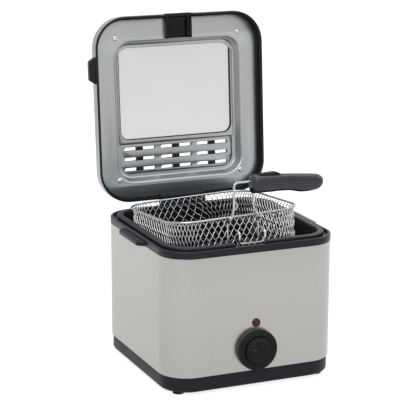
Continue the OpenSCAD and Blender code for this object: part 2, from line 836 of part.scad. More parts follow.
module grip_upper() {
    color([0.09, 0.09, 0.1]) difference() {
        grip_half(1);
        at_grip() box([1.9, -4.2, grip_hgt / 2 - 2.6],
            [slider_l + slide_run + 4.1, 4.2, grip_hgt / 2 + 2]);
        at_grip() for (x = [40, 70]) translate([x, 0, -1]) cylinder(h = 5, r = 1.6);
    }
}

module grip_lower() {
    color([0.09, 0.09, 0.1]) difference() {
        grip_half(-1);
        at_grip() for (x = [40, 70]) translate([x, 0, -20]) cylinder(h = 21, r = 1.6);
    }
}

module grip_flange() {
    color([0.07, 0.07, 0.08]) difference() {
        at_grip() union() {
            bar_x(3.4 - flange_t, -0.2, grip_hgt / 2 + 0.2);
            translate([-flange_t, 0, 0]) rotate([0, 90, 0])
                cylinder(h = 3.4, r1 = 5, r2 = grip_hgt / 2 + 0.2);
        }
        in_frame() translate([0, pivot_y, 0]) wire([[flange_x - 2, 0, bar_z], [leg_top[1], 0, bar_z],
            [leg_top[1], 0, grip_z - 20]], leg_r + running);
    }
}

module grip_rivets() {
    at_grip() color([0.6, 0.6, 0.6]) for (x = [40, 70])
        translate([x, 0, -grip_hgt / 2 + 2.5]) cylinder(h = grip_hgt / 2 + 1, r = 1.5);
}

module release_slider() {
    at_grip() color([0.11, 0.11, 0.12]) union() {
        box([2.2, -3.9, grip_hgt / 2 - 2.3], [2.2 + slider_l, 3.9, grip_hgt / 2 + 1]);
        box([5, -3.4, grip_hgt / 2], [slider_l - 4, 3.4, grip_hgt / 2 + 2.2]);
    }
}

base_tray();
rubber_feet();
foot_screws();
steel_housing();
rim_collar();
oil_pot();
pot_posts();
heating_element();
heat_spreader();
element_nut();
heat_shield();
thermal_cutout();
thermostat_body();
temperature_probe();
terminal_block();
wiring();
cord_gland();
dial_ring();
lamp_lens();
lamp_holder();
hinge_bracket();
hinge_pin();
lid_shell();
lid_frame();
lid_seal();
lid_inner_plate();
lid_window();
window_gasket();
vent_grille();
lid_latch();
lid_side_tab();
lid_hinge_arm();
lid_screws();
control_knob();
thermostat_shaft();
basket_rim();
basket_mesh();
basket_hook();
handle_brackets();
handle_wire();
grip_upper();
grip_lower();
grip_flange();
grip_rivets();
release_slider();
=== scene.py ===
"""The looks of a compact deep fryer: brushed steel housing, window lid, wire basket and folding grip.

Lengths in this script are millimetres until a mesh is made. The housing's own frame has its middle
on the Z axis; place_* functions carry points from a piece's own frame into the shared one.
"""
import json
import math

import bmesh
import bpy
import numpy as np
from mathutils import Euler, Matrix, Vector


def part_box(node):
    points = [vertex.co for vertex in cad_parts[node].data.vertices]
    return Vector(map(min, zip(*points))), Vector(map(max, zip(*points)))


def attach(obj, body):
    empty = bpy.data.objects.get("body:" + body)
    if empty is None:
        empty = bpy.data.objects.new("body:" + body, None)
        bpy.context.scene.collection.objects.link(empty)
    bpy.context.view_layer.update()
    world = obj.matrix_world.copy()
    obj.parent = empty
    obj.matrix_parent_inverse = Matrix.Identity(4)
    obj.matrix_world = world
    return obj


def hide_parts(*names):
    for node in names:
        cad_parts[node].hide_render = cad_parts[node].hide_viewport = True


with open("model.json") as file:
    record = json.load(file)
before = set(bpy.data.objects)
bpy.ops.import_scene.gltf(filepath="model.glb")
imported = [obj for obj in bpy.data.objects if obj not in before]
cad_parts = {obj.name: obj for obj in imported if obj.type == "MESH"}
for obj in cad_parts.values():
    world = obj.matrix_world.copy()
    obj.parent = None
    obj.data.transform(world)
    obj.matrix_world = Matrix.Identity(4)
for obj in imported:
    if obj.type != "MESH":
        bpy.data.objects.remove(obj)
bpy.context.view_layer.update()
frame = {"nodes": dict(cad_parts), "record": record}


# ---- places taken from the frame ----

def box_mm(node):
    """Lowest and highest corner of a node at rest, in millimetres."""
    return [np.array(corner) * 1000.0 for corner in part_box(node)]


def joint(name):
    return next(j for j in frame["record"]["behaviour"]["joints"] if j["name"] == name)


house_lo, house_hi = box_mm("steel_housing")
MID_Y = (house_lo[1] + house_hi[1]) / 2
BODY_W = house_hi[0] - house_lo[0]
BODY_D = house_hi[1] - house_lo[1]
BODY_R = 34.0
Z_STEEL0, Z_STEEL1 = house_lo[2], house_hi[2]
pot_lo, pot_hi = box_mm("oil_pot")
Z_RING = pot_hi[2]
Z_RIM = Z_RING - 2.4
Z_FOOT = box_mm("rubber_feet")[1][2]
Z_KNOB = (box_mm("control_knob")[0][2] + box_mm("control_knob")[1][2]) / 2
Z_LAMP = (box_mm("lamp_lens")[0][2] + box_mm("lamp_lens")[1][2]) / 2
RING_W = pot_hi[0] - pot_lo[0]
RING_R = BODY_R - 2
POT_W = RING_W - 14.8
HINGE = np.array(joint("lid_hinge")["pos_m"]) * 1000.0 - (0, MID_Y, 0)
OPEN = math.radians(joint("lid_hinge")["range_deg"][1])
PIVOT = np.array(joint("handle_fold")["pos_m"]) * 1000.0 - (0, MID_Y, 0)

Z_LID = Z_RIM + 1
LID_W, LID_D, LID_R = BODY_W + 4.4, BODY_D + 10.1, 37.5
LID_Y = 0.55
LID_FRONT = LID_Y - LID_D / 2
Z_PLATE = Z_LID + 9.5
Z_TOP = Z_LID + 27
Z_GAP = HINGE[2] + 3.9                        # top of the room for the hinge in the lid's edge
WINDOW = (144.0, 112.0, 11.0, -17.45)         # width, length, corner radius, middle
POCKET = (162.0, 167.0, 22.0, LID_Y + 4)
SLOT_X, SLOT_Y = (-47.0, 0.0, 47.0), (49.75, 62.05, 74.35)

BASKET_W, BASKET_D, BASKET_R, BASKET_H = 157.5, 154.6, 30.0, 62.0
HANG = np.array([-9.3, -2.3, Z_RING + 19.2])
TILT, ROLL = math.radians(5.1), math.radians(1.96)
GRIP = np.array([5.6, PIVOT[1], PIVOT[2] + 37])
GRIP_FALL = math.radians(3)


def turn(axis, angle):
    """3 x 3 matrix of a turn about a coordinate axis."""
    return np.array(Matrix.Rotation(angle, 3, axis))


def place_stand(p):
    """A fixed piece: only shifted to the housing's middle."""
    return np.asarray(p, float) + (0, MID_Y, 0)


def place_open(p):
    """A piece drawn on the closed lid, swung back about the hinge to where the lid stands open."""
    return place_stand((np.asarray(p, float) - HINGE) @ turn("X", -OPEN).T + HINGE)


def place_hung(p):
    """A piece of the basket, drawn level about the middle of its rim."""
    return place_stand(np.asarray(p, float) @ (turn("Y", -ROLL) @ turn("X", -TILT)).T + HANG)


def place_grip(p):
    """A piece of the grip, drawn with its root's middle at zero and its length along X."""
    return place_stand(np.asarray(p, float) @ turn("Y", GRIP_FALL).T + GRIP)


# ---- curves and surfaces ----

def soften(corners, steps=4):
    """A polyline with each corner (point, radius) replaced by a circular arc that is tangent to both sides.

    The arc leaves each side at radius / tan(half the inside angle) from the corner, in steps + 1 points."""
    pts = [np.array(c[:-1], float) for c in corners]
    out = [pts[0]]
    for before, here, after, r in zip(pts, pts[1:], pts[2:], [c[-1] for c in corners[1:-1]]):
        a, b = before - here, after - here
        la, lb = np.linalg.norm(a), np.linalg.norm(b)
        a, b = a / la, b / lb
        half = math.acos(np.clip(a @ b, -1, 1)) / 2
        if r <= 0 or half > math.pi / 2 - 1e-3:
            out.append(here)
            continue
        reach = min(r / math.tan(half), 0.49 * la, 0.49 * lb)
        r = reach * math.tan(half)
        middle = here + (a + b) / np.linalg.norm(a + b) * r / math.sin(half)
        start, end = here + a * reach - middle, here + b * reach - middle
        sweep = math.pi - 2 * half
        t = np.linspace(0, 1, steps + 1)[:, None]
        out.extend(middle + (start * np.sin((1 - t) * sweep) + end * np.sin(t * sweep)) / math.sin(sweep))
    out.append(pts[-1])
    return np.array(out)


def loop(w, d, r, turns=12, side=6, gap=None):
    """Points and outward directions round a rectangle with round corners, anticlockwise from mid front.

    gap = (left, right) leaves that stretch of the front open, and the loop is then a C."""
    hx, hy = w / 2 - r, d / 2 - r
    left, right = gap if gap else (0.0, 0.0)
    t = np.linspace(0, 1, side, endpoint=False)[:, None]
    q = np.linspace(0, math.pi / 2, turns, endpoint=False)
    runs, outs = [], []

    def straight(a, b, n, last=False):
        s = np.linspace(0, 1, side + 1)[:, None] if last else t
        runs.append(np.array(a) + (np.array(b) - a) * s)
        outs.append(np.tile(n, (len(s), 1)))

    def corner(cx, cy, start):
        n = np.stack([np.cos(q + start), np.sin(q + start)], 1)
        runs.append(np.array([cx, cy]) + r * n)
        outs.append(n)

    straight((right, -d / 2), (hx, -d / 2), (0.0, -1.0))
    corner(hx, -hy, -math.pi / 2)
    straight((w / 2, -hy), (w / 2, hy), (1.0, 0.0))
    corner(hx, hy, 0)
    straight((hx, d / 2), (-hx, d / 2), (0.0, 1.0))
    corner(-hx, hy, math.pi / 2)
    straight((-w / 2, hy), (-w / 2, -hy), (-1.0, 0.0))
    corner(-hx, -hy, math.pi)
    straight((-hx, -d / 2), (left, -d / 2), (0.0, -1.0), last=gap is not None)
    return np.concatenate(runs), np.concatenate(outs)


def carried(path, section, middle=(0.0, 0.0)):
    """A section of (outward, height) points carried along a path: point + outward direction * outward."""
    pts, outs = path
    o, z = section[:, 0][:, None, None], section[:, 1][:, None]
    flat = pts[None] + outs[None] * o + np.array(middle)
    return np.concatenate([flat, np.broadcast_to(z[..., None], flat.shape[:2] + (1,))], 2)


def stacked(rows, turns=12, side=6):
    """Loops of their own width, length, corner radius, height and middle, one above the other."""
    count = 4 * turns + 5 * side
    return np.stack([np.column_stack([loop(w, d, r, turns, side)[0] + (0, cy), np.full(count, z)])
                     for w, d, r, z, cy in rows])


def turned(profile, sides=48):
    """A profile of (height, radius) turned once about the Z axis."""
    a = np.linspace(0, 2 * math.pi, sides, endpoint=False)
    h, r = profile[:, 0][:, None], profile[:, 1][:, None]
    return np.stack([r * np.cos(a), r * np.sin(a), np.broadcast_to(h, (len(profile), sides))], 2)


def prism(outline, levels):
    """An outline (anticlockwise) drawn in by an inset at each height, along its own outward directions."""
    step = np.roll(outline, -1, 0) - np.roll(outline, 1, 0)
    outs = np.stack([step[:, 1], -step[:, 0]], 1) / np.linalg.norm(step, axis=1)[:, None]
    return np.stack([np.column_stack([outline - outs * inset, np.full(len(outline), h)])
                     for h, inset in levels])


def to_front(grid):
    """Turns heights into distances towards the front, -Y."""
    return np.stack([grid[..., 0], -grid[..., 2], grid[..., 1]], -1)


def to_right(grid):
    """Turns heights into distances along +X; the outline's own axes become Y and Z."""
    return np.stack([grid[..., 2], grid[..., 0], grid[..., 1]], -1)


def along(path, radius, sides=8, closed=False, flat=None):
    """Rings of the given radius round a path of points: point + radius * (cos a * side + sin a * up).

    side stands at right angles to the path and to the normal of the plane that fits the path best."""
    p = np.asarray(path, float)
    step = np.roll(p, -1, 0) - np.roll(p, 1, 0) if closed else np.gradient(p, axis=0)
    t = step / np.linalg.norm(step, axis=1)[:, None]
    if flat is None:
        flat = np.linalg.svd(p - p.mean(0))[2][2]
        if np.abs(t @ flat).max() > 0.9:
            flat = np.linalg.svd(p - p.mean(0))[2][1]
    side = np.cross(t, flat)
    side /= np.linalg.norm(side, axis=1)[:, None]
    up = np.cross(side, t)
    a = np.linspace(0, 2 * math.pi, sides, endpoint=False)
    r = np.broadcast_to(np.asarray(radius, float), (len(p),))[:, None, None]
    return p[:, None] + r * (np.cos(a)[:, None] * side[:, None] + np.sin(a)[:, None] * up[:, None])


def quads(rows, cols, wrap_rows, wrap_cols):
    """Corner numbers of the faces of a grid, joined end to end where it wraps."""
    i = np.arange(rows * cols).reshape(rows, cols)
    if wrap_rows:
        i = np.vstack([i, i[:1]])
    if wrap_cols:
        i = np.hstack([i, i[:, :1]])
    return np.stack([i[:-1, :-1], i[:-1, 1:], i[1:, 1:], i[1:, :-1]], 2).reshape(-1, 4)


def piece(name, verts, faces, place, finish, body, slot, stands_for=(), crease=35.0, mend=True):
    """Makes a mesh object of points and faces, in metres, merges doubles and turns its faces outwards."""
    mesh = bpy.data.meshes.new(name)
    mesh.from_pydata((place(verts) * 0.001).tolist(), [], [list(map(int, f)) for f in faces])
    mesh.update()
    if mend:
        b = bmesh.new()
        b.from_mesh(mesh)
        bmesh.ops.remove_doubles(b, verts=b.verts, dist=1e-6)
        bmesh.ops.recalc_face_normals(b, faces=b.faces)
        b.to_mesh(mesh)
        b.free()
    mesh.polygons.foreach_set("use_smooth", np.ones(len(mesh.polygons), bool))
    mesh.set_sharp_from_angle(angle=math.radians(crease))
    mesh.materials.append(finish)
    obj = bpy.data.objects.new(name, mesh)
    bpy.context.scene.collection.objects.link(obj)
    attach(obj, body)
    if stands_for:
        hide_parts(*stands_for)
    return obj


def skin(grid, wrap_rows=False, wrap_cols=True):
    """Points and faces of a grid of closed rings, with a face over each open end."""
    rows, cols = grid.shape[:2]
    faces = [tuple(f) for f in quads(rows, cols, wrap_rows, wrap_cols)]
    if not wrap_rows:
        faces += [tuple(range(cols)), tuple(range((rows - 1) * cols, rows * cols))]
    return grid.reshape(-1, 3), faces


def band(grid):
    """Points and faces of a closed section carried along an open path, with its two ends filled."""
    verts = grid.reshape(-1, 3)
    rows, cols = grid.shape[:2]
    faces = [tuple(f) for f in quads(rows, cols, True, False)]
    for col in (0, cols - 1):
        faces.append(tuple(np.arange(rows) * cols + col))
    return verts, faces


def together(*parts):
    """Several lots of points and faces as one."""
    verts, faces, n = [], [], 0
    for v, f in parts:
        verts.append(v)
        faces += [tuple(int(k) + n for k in g) for g in f]
        n += len(v)
    return np.vstack(verts), faces


def punched(outer, holes, z0, z1, edge=0.15):
    """A flat sheet between two heights with holes through it and slightly eased edges."""
    curve = bpy.data.curves.new("sheet", "CURVE")
    curve.dimensions, curve.fill_mode = "2D", "BOTH"
    curve.extrude, curve.bevel_depth, curve.bevel_resolution = (z1 - z0) / 2 - edge, edge, 1
    curve.offset = -edge
    for pts in [outer] + list(holes):
        s = curve.splines.new("POLY")
        s.points.add(len(pts) - 1)
        s.points.foreach_set("co", np.column_stack([pts, np.zeros(len(pts)), np.ones(len(pts))]).ravel())
        s.use_cyclic_u = True
    obj = bpy.data.objects.new("sheet", curve)
    bpy.context.scene.collection.objects.link(obj)
    mesh = bpy.data.meshes.new_from_object(obj)
    co = np.empty(len(mesh.vertices) * 3)
    mesh.vertices.foreach_get("co", co)
    verts = co.reshape(-1, 3) + (0, 0, (z0 + z1) / 2)
    faces = [tuple(p.vertices) for p in mesh.polygons]
    bpy.data.objects.remove(obj)
    bpy.data.meshes.remove(mesh)
    bpy.data.curves.remove(curve)
    return verts, faces


def oblong(length, height, cx, cy, r=None, turns=6):
    """Outline of a slot with round ends."""
    return loop(length, height, height / 2 - 0.01 if r is None else r, turns, 2)[0] + (cx, cy)


# ---- finishes ----

class Lead:
    """A shader socket that can be used in sums, so that a pattern reads as an expression."""

    def __init__(self, finish, socket):
        self.finish, self.socket = finish, socket

    def _sum(self, op, a, b):
        return self.finish.node("ShaderNodeMath", {"operation": op}, {0: a, 1: b})

    def __add__(self, other):
        return self._sum("ADD", self, other)

    def __radd__(self, other):
        return self._sum("ADD", other, self)

    def __sub__(self, other):
        return self._sum("SUBTRACT", self, other)

    def __mul__(self, other):
        return self._sum("MULTIPLY", self, other)


class Board:
    """An empty node tree that nodes are added to."""

    def __init__(self, owner):
        owner.use_nodes = True
        self.tree = owner.node_tree
        self.tree.nodes.clear()

    def node(self, kind, settings=None, sockets=None, output=0):
        """Adds a node: its settings first, then the value or lead of each socket."""
        n = self.tree.nodes.new(kind)
        for key, value in (settings or {}).items():
            if key == "stops":
                while len(n.color_ramp.elements) < len(value):
                    n.color_ramp.elements.new(0.5)
                for e, (at, colour) in zip(n.color_ramp.elements, value):
                    e.position, e.color = at, colour
            else:
                setattr(n, key, value)
        for key, value in (sockets or {}).items():
            if isinstance(value, Lead):
                self.tree.links.new(value.socket, n.inputs[key])
            else:
                n.inputs[key].default_value = value
        return None if output is None else Lead(self, n.outputs[output])

    def blend(self, a, b, mask):
        """Colour a where the mask is 0 and b where it is 1."""
        n = self.tree.nodes.new("ShaderNodeMix")
        n.data_type = "RGBA"
        for k, v in ((6, a), (7, b), (0, mask)):
            if isinstance(v, Lead):
                self.tree.links.new(v.socket, n.inputs[k])
            else:
                n.inputs[k].default_value = (*v, 1.0) if k else v
        return Lead(self, n.outputs[2])


class Finish(Board):
    """A procedural finish: one principled shader and the nodes that feed it."""

    def __init__(self, name, **fixed):
        self.material = bpy.data.materials.new(name)
        super().__init__(self.material)
        self.out = self.tree.nodes.new("ShaderNodeOutputMaterial")
        self.shader = self.tree.nodes.new("ShaderNodeBsdfPrincipled")
        self.tree.links.new(self.shader.outputs[0], self.out.inputs[0])
        self.feed(**fixed)

    def feed(self, **sockets):
        """Sets or links the shader's own sockets; base_color stands for Base Color and so on."""
        for key, value in sockets.items():
            s = self.shader.inputs[" ".join(w if w == "IOR" else w.capitalize() for w in key.split("_"))]
            if isinstance(value, Lead):
                self.tree.links.new(value.socket, s)
            elif s.type == "RGBA":
                s.default_value = (*value, 1.0)
            else:
                s.default_value = value

    def at(self, scale=(1, 1, 1), turn=(0, 0, 0)):
        """Object coordinates, scaled per axis."""
        where = self.node("ShaderNodeTexCoord", output="Object")
        return self.node("ShaderNodeMapping", {}, {"Vector": where, "Rotation": turn, "Scale": scale})

    def noise(self, scale, size=1.0, detail=2.0, turn=(0, 0, 0)):
        """Noise between 0 and 1 over coordinates scaled per axis."""
        where = self.at(scale, turn)
        return self.node("ShaderNodeTexNoise", {}, {"Vector": where, "Scale": size, "Detail": detail})

    def bump(self, height, distance, strength=1.0):
        return self.node("ShaderNodeBump", {},
                         {"Height": height, "Distance": distance, "Strength": strength})


def brushed(name, pale, dark, grain, rough, painted_reflection_tint=None):
    """Brushed sheet: fine and coarse streaks of noise, short across the brushing and long along it.

    painted_reflection_tint = (tint, low, high) multiplies the metal's colour by the tint at height low,
    fading out at high: a painted reflection, cooler and slightly darker towards the bottom."""
    f = Finish(name, metallic=1.0)
    fine = f.noise(grain, 1.0, 3.0)
    coarse = f.noise(tuple(g * 0.35 for g in grain), 1.0, 2.0)
    clouds = f.noise((9, 9, 9), 1.0, 2.0)
    streak = fine * 0.72 + coarse * 0.28
    colour = f.blend(dark, pale, streak * 0.8 + clouds * 0.2)
    # Painted reflection: the metal turns cooler and slightly darker towards the bottom.
    if painted_reflection_tint:
        tint, low, high = painted_reflection_tint
        height = f.node("ShaderNodeSeparateXYZ", {}, {0: f.at()}, output="Z")
        fade = f.node("ShaderNodeMapRange", {"interpolation_type": "SMOOTHSTEP"},
                      {"Value": height + clouds * 0.02, "From Min": low, "From Max": high})
        cast = f.blend(tint, (1, 1, 1), fade)
        colour = f.node("ShaderNodeVectorMath", {"operation": "MULTIPLY"}, {0: colour, 1: cast})
    f.feed(base_color=colour, roughness=rough + streak * 0.12 + clouds * 0.05,
           normal=f.bump(streak, 0.00002, 0.6))
    return f.material


def moulded(name, colour, rough, grain=0.00002, shine=0.22, rubbed=1.5):
    """Moulded plastic with a fine grain; in soft patches it is rubbed paler, by the factor rubbed."""
    f = Finish(name, specular_IOR_level=shine)
    fine = f.noise((1, 1, 1), 1600.0, 2.0)
    rub = f.noise((1, 1, 1), 45.0, 3.0)
    paler = tuple(min(1.0, c * rubbed + 0.004) for c in colour)
    f.feed(base_color=f.blend(colour, paler, rub * 0.8), roughness=rough + rub * 0.14 - 0.05,
           normal=f.bump(fine, grain, 0.5))
    return f.material


def wire_metal(name, colour, rough, painted_depth_shade=None):
    """Plated wire: bright, with faint dull patches from handling and oil.

    painted_depth_shade = (colour, low, high) is painted shade: the wire takes that colour below height low,
    fading out by height high, so it is darker deep in the basket."""
    f = Finish(name, metallic=1.0)
    dull = f.noise((1, 1, 1), 120.0, 3.0)
    tone = f.blend(tuple(c * 0.86 for c in colour), colour, dull)
    # Painted shade: the wire darkens towards the bottom of the basket.
    if painted_depth_shade:
        shade, low, high = painted_depth_shade
        height = f.node("ShaderNodeSeparateXYZ", {}, {0: f.at()}, output="Z")
        fade = f.node("ShaderNodeMapRange", {},
                      {"Value": height + dull * 0.006, "From Min": low, "From Max": high})
        tone = f.blend(shade, tone, fade)
    f.feed(base_color=tone, roughness=rough + dull * 0.12)
    return f.material


STEEL = brushed("brushed housing steel", (0.42, 0.415, 0.40), (0.345, 0.34, 0.328), (14, 14, 2200), 0.21)
LID_STEEL = brushed("brushed lid steel", (0.37, 0.37, 0.36), (0.31, 0.31, 0.30), (14, 2200, 2200), 0.25)
# The lining's cooler, slightly darker tint towards its bottom, by the hinge of the open lid, is a painted
# reflection.
LINING = brushed("pressed lid lining", (0.42, 0.43, 0.432), (0.36, 0.37, 0.374), (60, 900, 900), 0.25,
                 ((0.88, 0.95, 1.0), 0.17, 0.26))
BLACK = moulded("black moulding", (0.008, 0.0100, 0.0135), 0.42, shine=0.16)
RIM_BLACK = moulded("satin rim moulding", (0.0065, 0.0082, 0.0120), 0.27, shine=0.2)
GRIP_BLACK = moulded("satin grip moulding", (0.0065, 0.0080, 0.0125), 0.20, shine=0.45, rubbed=3.4)
KNOB_BLACK = moulded("half-gloss knob", (0.0042, 0.0054, 0.0072), 0.25, shine=0.13)
# The pointer rib's paler grey is a painted highlight, for the glint on the knob's pointer.
POINTER_PAINTED_GLINT = moulded("pointer rib", (0.022, 0.027, 0.026), 0.3)
LATCH_BLACK = moulded("glossy latch", (0.003, 0.0035, 0.0045), 0.16, shine=0.15)
RUBBER = moulded("dull rubber", (0.010, 0.010, 0.010), 0.62, 0.00005, 0.12)
CHROME = wire_metal("plated wire", (0.42, 0.42, 0.42), 0.14)
# The woven wire's dark grey below about the pot's rim is painted shade for the inside of the basket.
MESH_METAL = wire_metal("woven wire", (0.60, 0.60, 0.61), 0.18, ((0.135, 0.135, 0.135), 0.144, 0.160))
# The hook is the same plated wire as the rim, made paler and glossier: a painted highlight for the glint on
# its cross bar.
HOOK_PAINTED_GLINT = wire_metal("polished hook", (0.62, 0.62, 0.63), 0.10)
SCREW = wire_metal("bright screw", (0.66, 0.655, 0.63), 0.24)
PLAIN = wire_metal("plain steel", (0.55, 0.55, 0.54), 0.34)


def coated(name):
    """Non-stick coating: near black, half gloss, with tiny pale specks."""
    f = Finish(name, specular_IOR_level=0.25)
    grain = f.noise((1, 1, 1), 900.0, 2.0)
    speck = f.node("ShaderNodeValToRGB", {"stops": [(0.66, (0, 0, 0, 1)), (0.74, (1, 1, 1, 1))]},
                   {"Fac": f.noise((1, 1, 1), 1400.0, 1.0)})
    f.feed(base_color=f.blend((0.0072, 0.0085, 0.0115), (0.03, 0.032, 0.037), speck * 0.5),
           roughness=0.30 + grain * 0.12, normal=f.bump(grain, 0.00002, 0.4))
    return f.material


def lens(name, colour, rough):
    """Clear coloured plastic, darker in its depth."""
    f = Finish(name, specular_IOR_level=0.35)
    deep = f.noise((1, 1, 1), 300.0, 2.0)
    f.feed(base_color=f.blend(colour, tuple(c * 0.6 for c in colour), deep), roughness=rough + deep * 0.06)
    return f.material


def pane(name):
    """Window glass: a pale, slightly smeared sheet that lets most light straight through."""
    f = Finish(name, IOR=1.5)
    smear = f.noise((1, 1, 1), 14.0, 3.0)
    f.feed(base_color=(0.20, 0.205, 0.22), alpha=0.28 + smear * 0.04, roughness=0.06 + smear * 0.05)
    return f.material


POT = coated("pot coating")
DIAL = moulded("dial plate", (0.042, 0.039, 0.033), 0.3)
LAMP = lens("dark red lens", (0.060, 0.005, 0.005), 0.14)
GLASS = pane("window glass")
CERAMIC = moulded("white ceramic", (0.62, 0.60, 0.55), 0.5, shine=0.4)
LEAD = moulded("red sleeved lead", (0.42, 0.03, 0.025), 0.45, shine=0.4)
COPPER = wire_metal("copper bulb", (0.72, 0.42, 0.30), 0.3)
SHEATH = wire_metal("element sheath", (0.20, 0.19, 0.18), 0.4)
CAST = wire_metal("cast spreader", (0.60, 0.60, 0.61), 0.5)


# ---- carried-over nodes that only need a finish ----

def dress(finish, *names):
    for name in names:
        mesh = frame["nodes"][name].data
        mesh.materials.clear()
        mesh.materials.append(finish)


dress(RUBBER, "rubber_feet", "cord_gland", "lid_seal", "window_gasket")
dress(PLAIN, "foot_screws", "pot_posts", "element_nut", "heat_shield", "hinge_pin", "thermostat_shaft",
      "grip_rivets")
dress(CERAMIC, "thermal_cutout", "thermostat_body", "terminal_block", "lamp_holder")
dress(SHEATH, "heating_element")
dress(CAST, "heat_spreader")
dress(COPPER, "temperature_probe")
dress(LEAD, "wiring")
dress(BLACK, "hinge_bracket", "lid_hinge_arm", "vent_grille")
dress(GLASS, "lid_window")
dress(CHROME, "handle_brackets")


# ---- housing ----

def hoop(w, d, r, section, cy=0.0, turns=12):
    """A closed section carried right round a rounded rectangle."""
    return skin(carried(loop(w, d, r, turns), section, (0.0, cy)), True, True)


def half(w, d, r, front, back, side, turns=12):
    """One side of a rounded rectangle, from x = front on its front edge to x = back on its back edge."""
    pts, outs = loop(w, d, r, turns)
    keep = (pts[:, 0] > 0) & ~((pts[:, 1] < 0.01 - d / 2) & (pts[:, 0] <= front)) \
        & ~((pts[:, 1] > d / 2 - 0.01) & (pts[:, 0] <= back))
    pts = np.vstack([(front, -d / 2), pts[keep], (back, d / 2)])
    outs = np.vstack([(0.0, -1.0), outs[keep], (0.0, 1.0)])
    return pts * (side, 1), outs * (side, 1)


def base_tray():
    """Foot tray: an upright wall with a rounded lower edge, and a floor with ventilation slots."""
    w, d, r = BODY_W - 3, BODY_D - 3, BODY_R - 1.5
    wall = soften([(-8, Z_FOOT + 2.4, 0), (-8, Z_FOOT, 0.3), (0, Z_FOOT, 7.5), (0, Z_STEEL0, 0.5),
                   (-3, Z_STEEL0, 0.5), (-3, Z_FOOT + 2.5, 0.6), (-7.9, Z_FOOT + 2.5, 0)], 5)
    slots = [oblong(70, 4, 0, y, 1.9, 4) for y in np.arange(-3, 4) * 14.0]
    floor = punched(loop(w - 15.8, d - 15.8, r - 7.9, 10, 2)[0], slots, Z_FOOT + 0.05, Z_FOOT + 2.45)
    piece("base_tray_wall", *together(hoop(w, d, r, wall), floor), place_stand, BLACK, "housing",
          "black_moulding", ["base_tray"])


def steel_housing():
    """Sheet wall with its two edges folded inwards over a small radius."""
    section = soften([(-5, Z_STEEL0 + 1, 0), (-5, Z_STEEL0, 0), (0, Z_STEEL0, 0.6), (0, Z_STEEL1, 0.15),
                      (-6, Z_STEEL1, 0), (-6, Z_STEEL1 - 1, 0), (-1, Z_STEEL1 - 1, 0.2),
                      (-1, Z_STEEL0 + 1, 0.2), (-4.9, Z_STEEL0 + 1, 0)])
    piece("housing_wall", *hoop(BODY_W, BODY_D, BODY_R, section, turns=24), place_stand, STEEL, "housing",
          "brushed_housing", ["steel_housing"])


SIDE_GRIP_X = 112.5    # how far the collar's side grips reach from the middle


def rim_collar():
    """Collar on the steel: outer wall, flat lip, the groove for the pot's ring, and two side grips."""
    w, d, r = BODY_W + 0.6, BODY_D + 0.6, BODY_R + 0.3
    section = soften([(-13.5, Z_STEEL1, 0), (0, Z_STEEL1, 0.5), (0, Z_RIM, 1.0), (-3.3, Z_RIM, 0.7),
                      (-3.7, Z_RIM - 3.4, 0.4), (-13.5, Z_RIM - 3.4, 0)])
    parts = [hoop(w, d, r, section, turns=20)]
    for s in (-1, 1):
        x0, x1 = s * (w / 2 - 1.5), s * SIDE_GRIP_X
        outline = soften([(x0, -36 * s, 0), (x0 + 0.8 * s, -35 * s, 2), (x1, -28 * s, 7), (x1, 28 * s, 7),
                          (x0 + 0.8 * s, 35 * s, 2), (x0, 36 * s, 0)], 6)
        parts.append(skin(prism(outline, [(Z_STEEL1 + 0.1, 0.7), (Z_STEEL1 + 0.8, 0), (Z_STEEL1 + 3.9, 0),
                                          (Z_STEEL1 + 4.6, 0.25), (Z_STEEL1 + 4.9, 0.9)])))
    pip = turned(soften([(0, 0.0, 0), (0, 1.5, 0), (0.9, 1.5, 0.5), (0.9, 0.0, 0)]), 16)
    parts.append(skin(to_front(pip) + (-20.4, -d / 2 + 0.1, Z_RIM - 4.7)))
    piece("collar", *together(*parts), place_stand, RIM_BLACK, "housing", "black_moulding", ["rim_collar"])


def oil_pot():
    """Pot: a raised ring that is low at the notch for the handle, and the deep bowl under it."""
    ring = soften([(-7.4, Z_RING - 5.5, 0), (0, Z_RING - 5.5, 0), (0, Z_RING, 1.5), (-7.4, Z_RING, 1.8),
                   (-7.4, Z_RING - 5.4, 0)], 5)
    low = soften([(-7.4, Z_RING - 6.5, 0), (0, Z_RING - 6.5, 0), (0, Z_RING - 5.2, 0.3),
                  (-7.4, Z_RING - 5.2, 0.3), (-7.4, Z_RING - 6.4, 0)], 2)
    c_ring = band(carried(loop(RING_W, RING_W, RING_R, 20, 6, gap=(-23.0, 15.0)), ring))
    bridge = skin(np.stack([np.column_stack([np.full(len(low), x), -RING_W / 2 - low[:, 0], low[:, 1]])
                            for x in (-23.5, 15.5)]))
    z0 = pot_lo[2] + 8
    inner = soften([(0, Z_RING - 5.4, 0), (0, 68, 9), (60, 68, 0)], 6)
    outer = soften([(60, 66.2, 0), (-1.8, 66.2, 10), (-1.8, Z_RING - 5.4, 0)], 6)
    rows = [(POT_W - 2 * i, POT_W - 2 * i, max(RING_R - 7.4 - i, 2.0), z, 0.0)
            for i, z in np.vstack([outer, inner])]
    piece("pot", *together(c_ring, bridge, skin(stacked(rows, 12))), place_stand, POT, "housing",
          "pot_coating", ["oil_pot"])


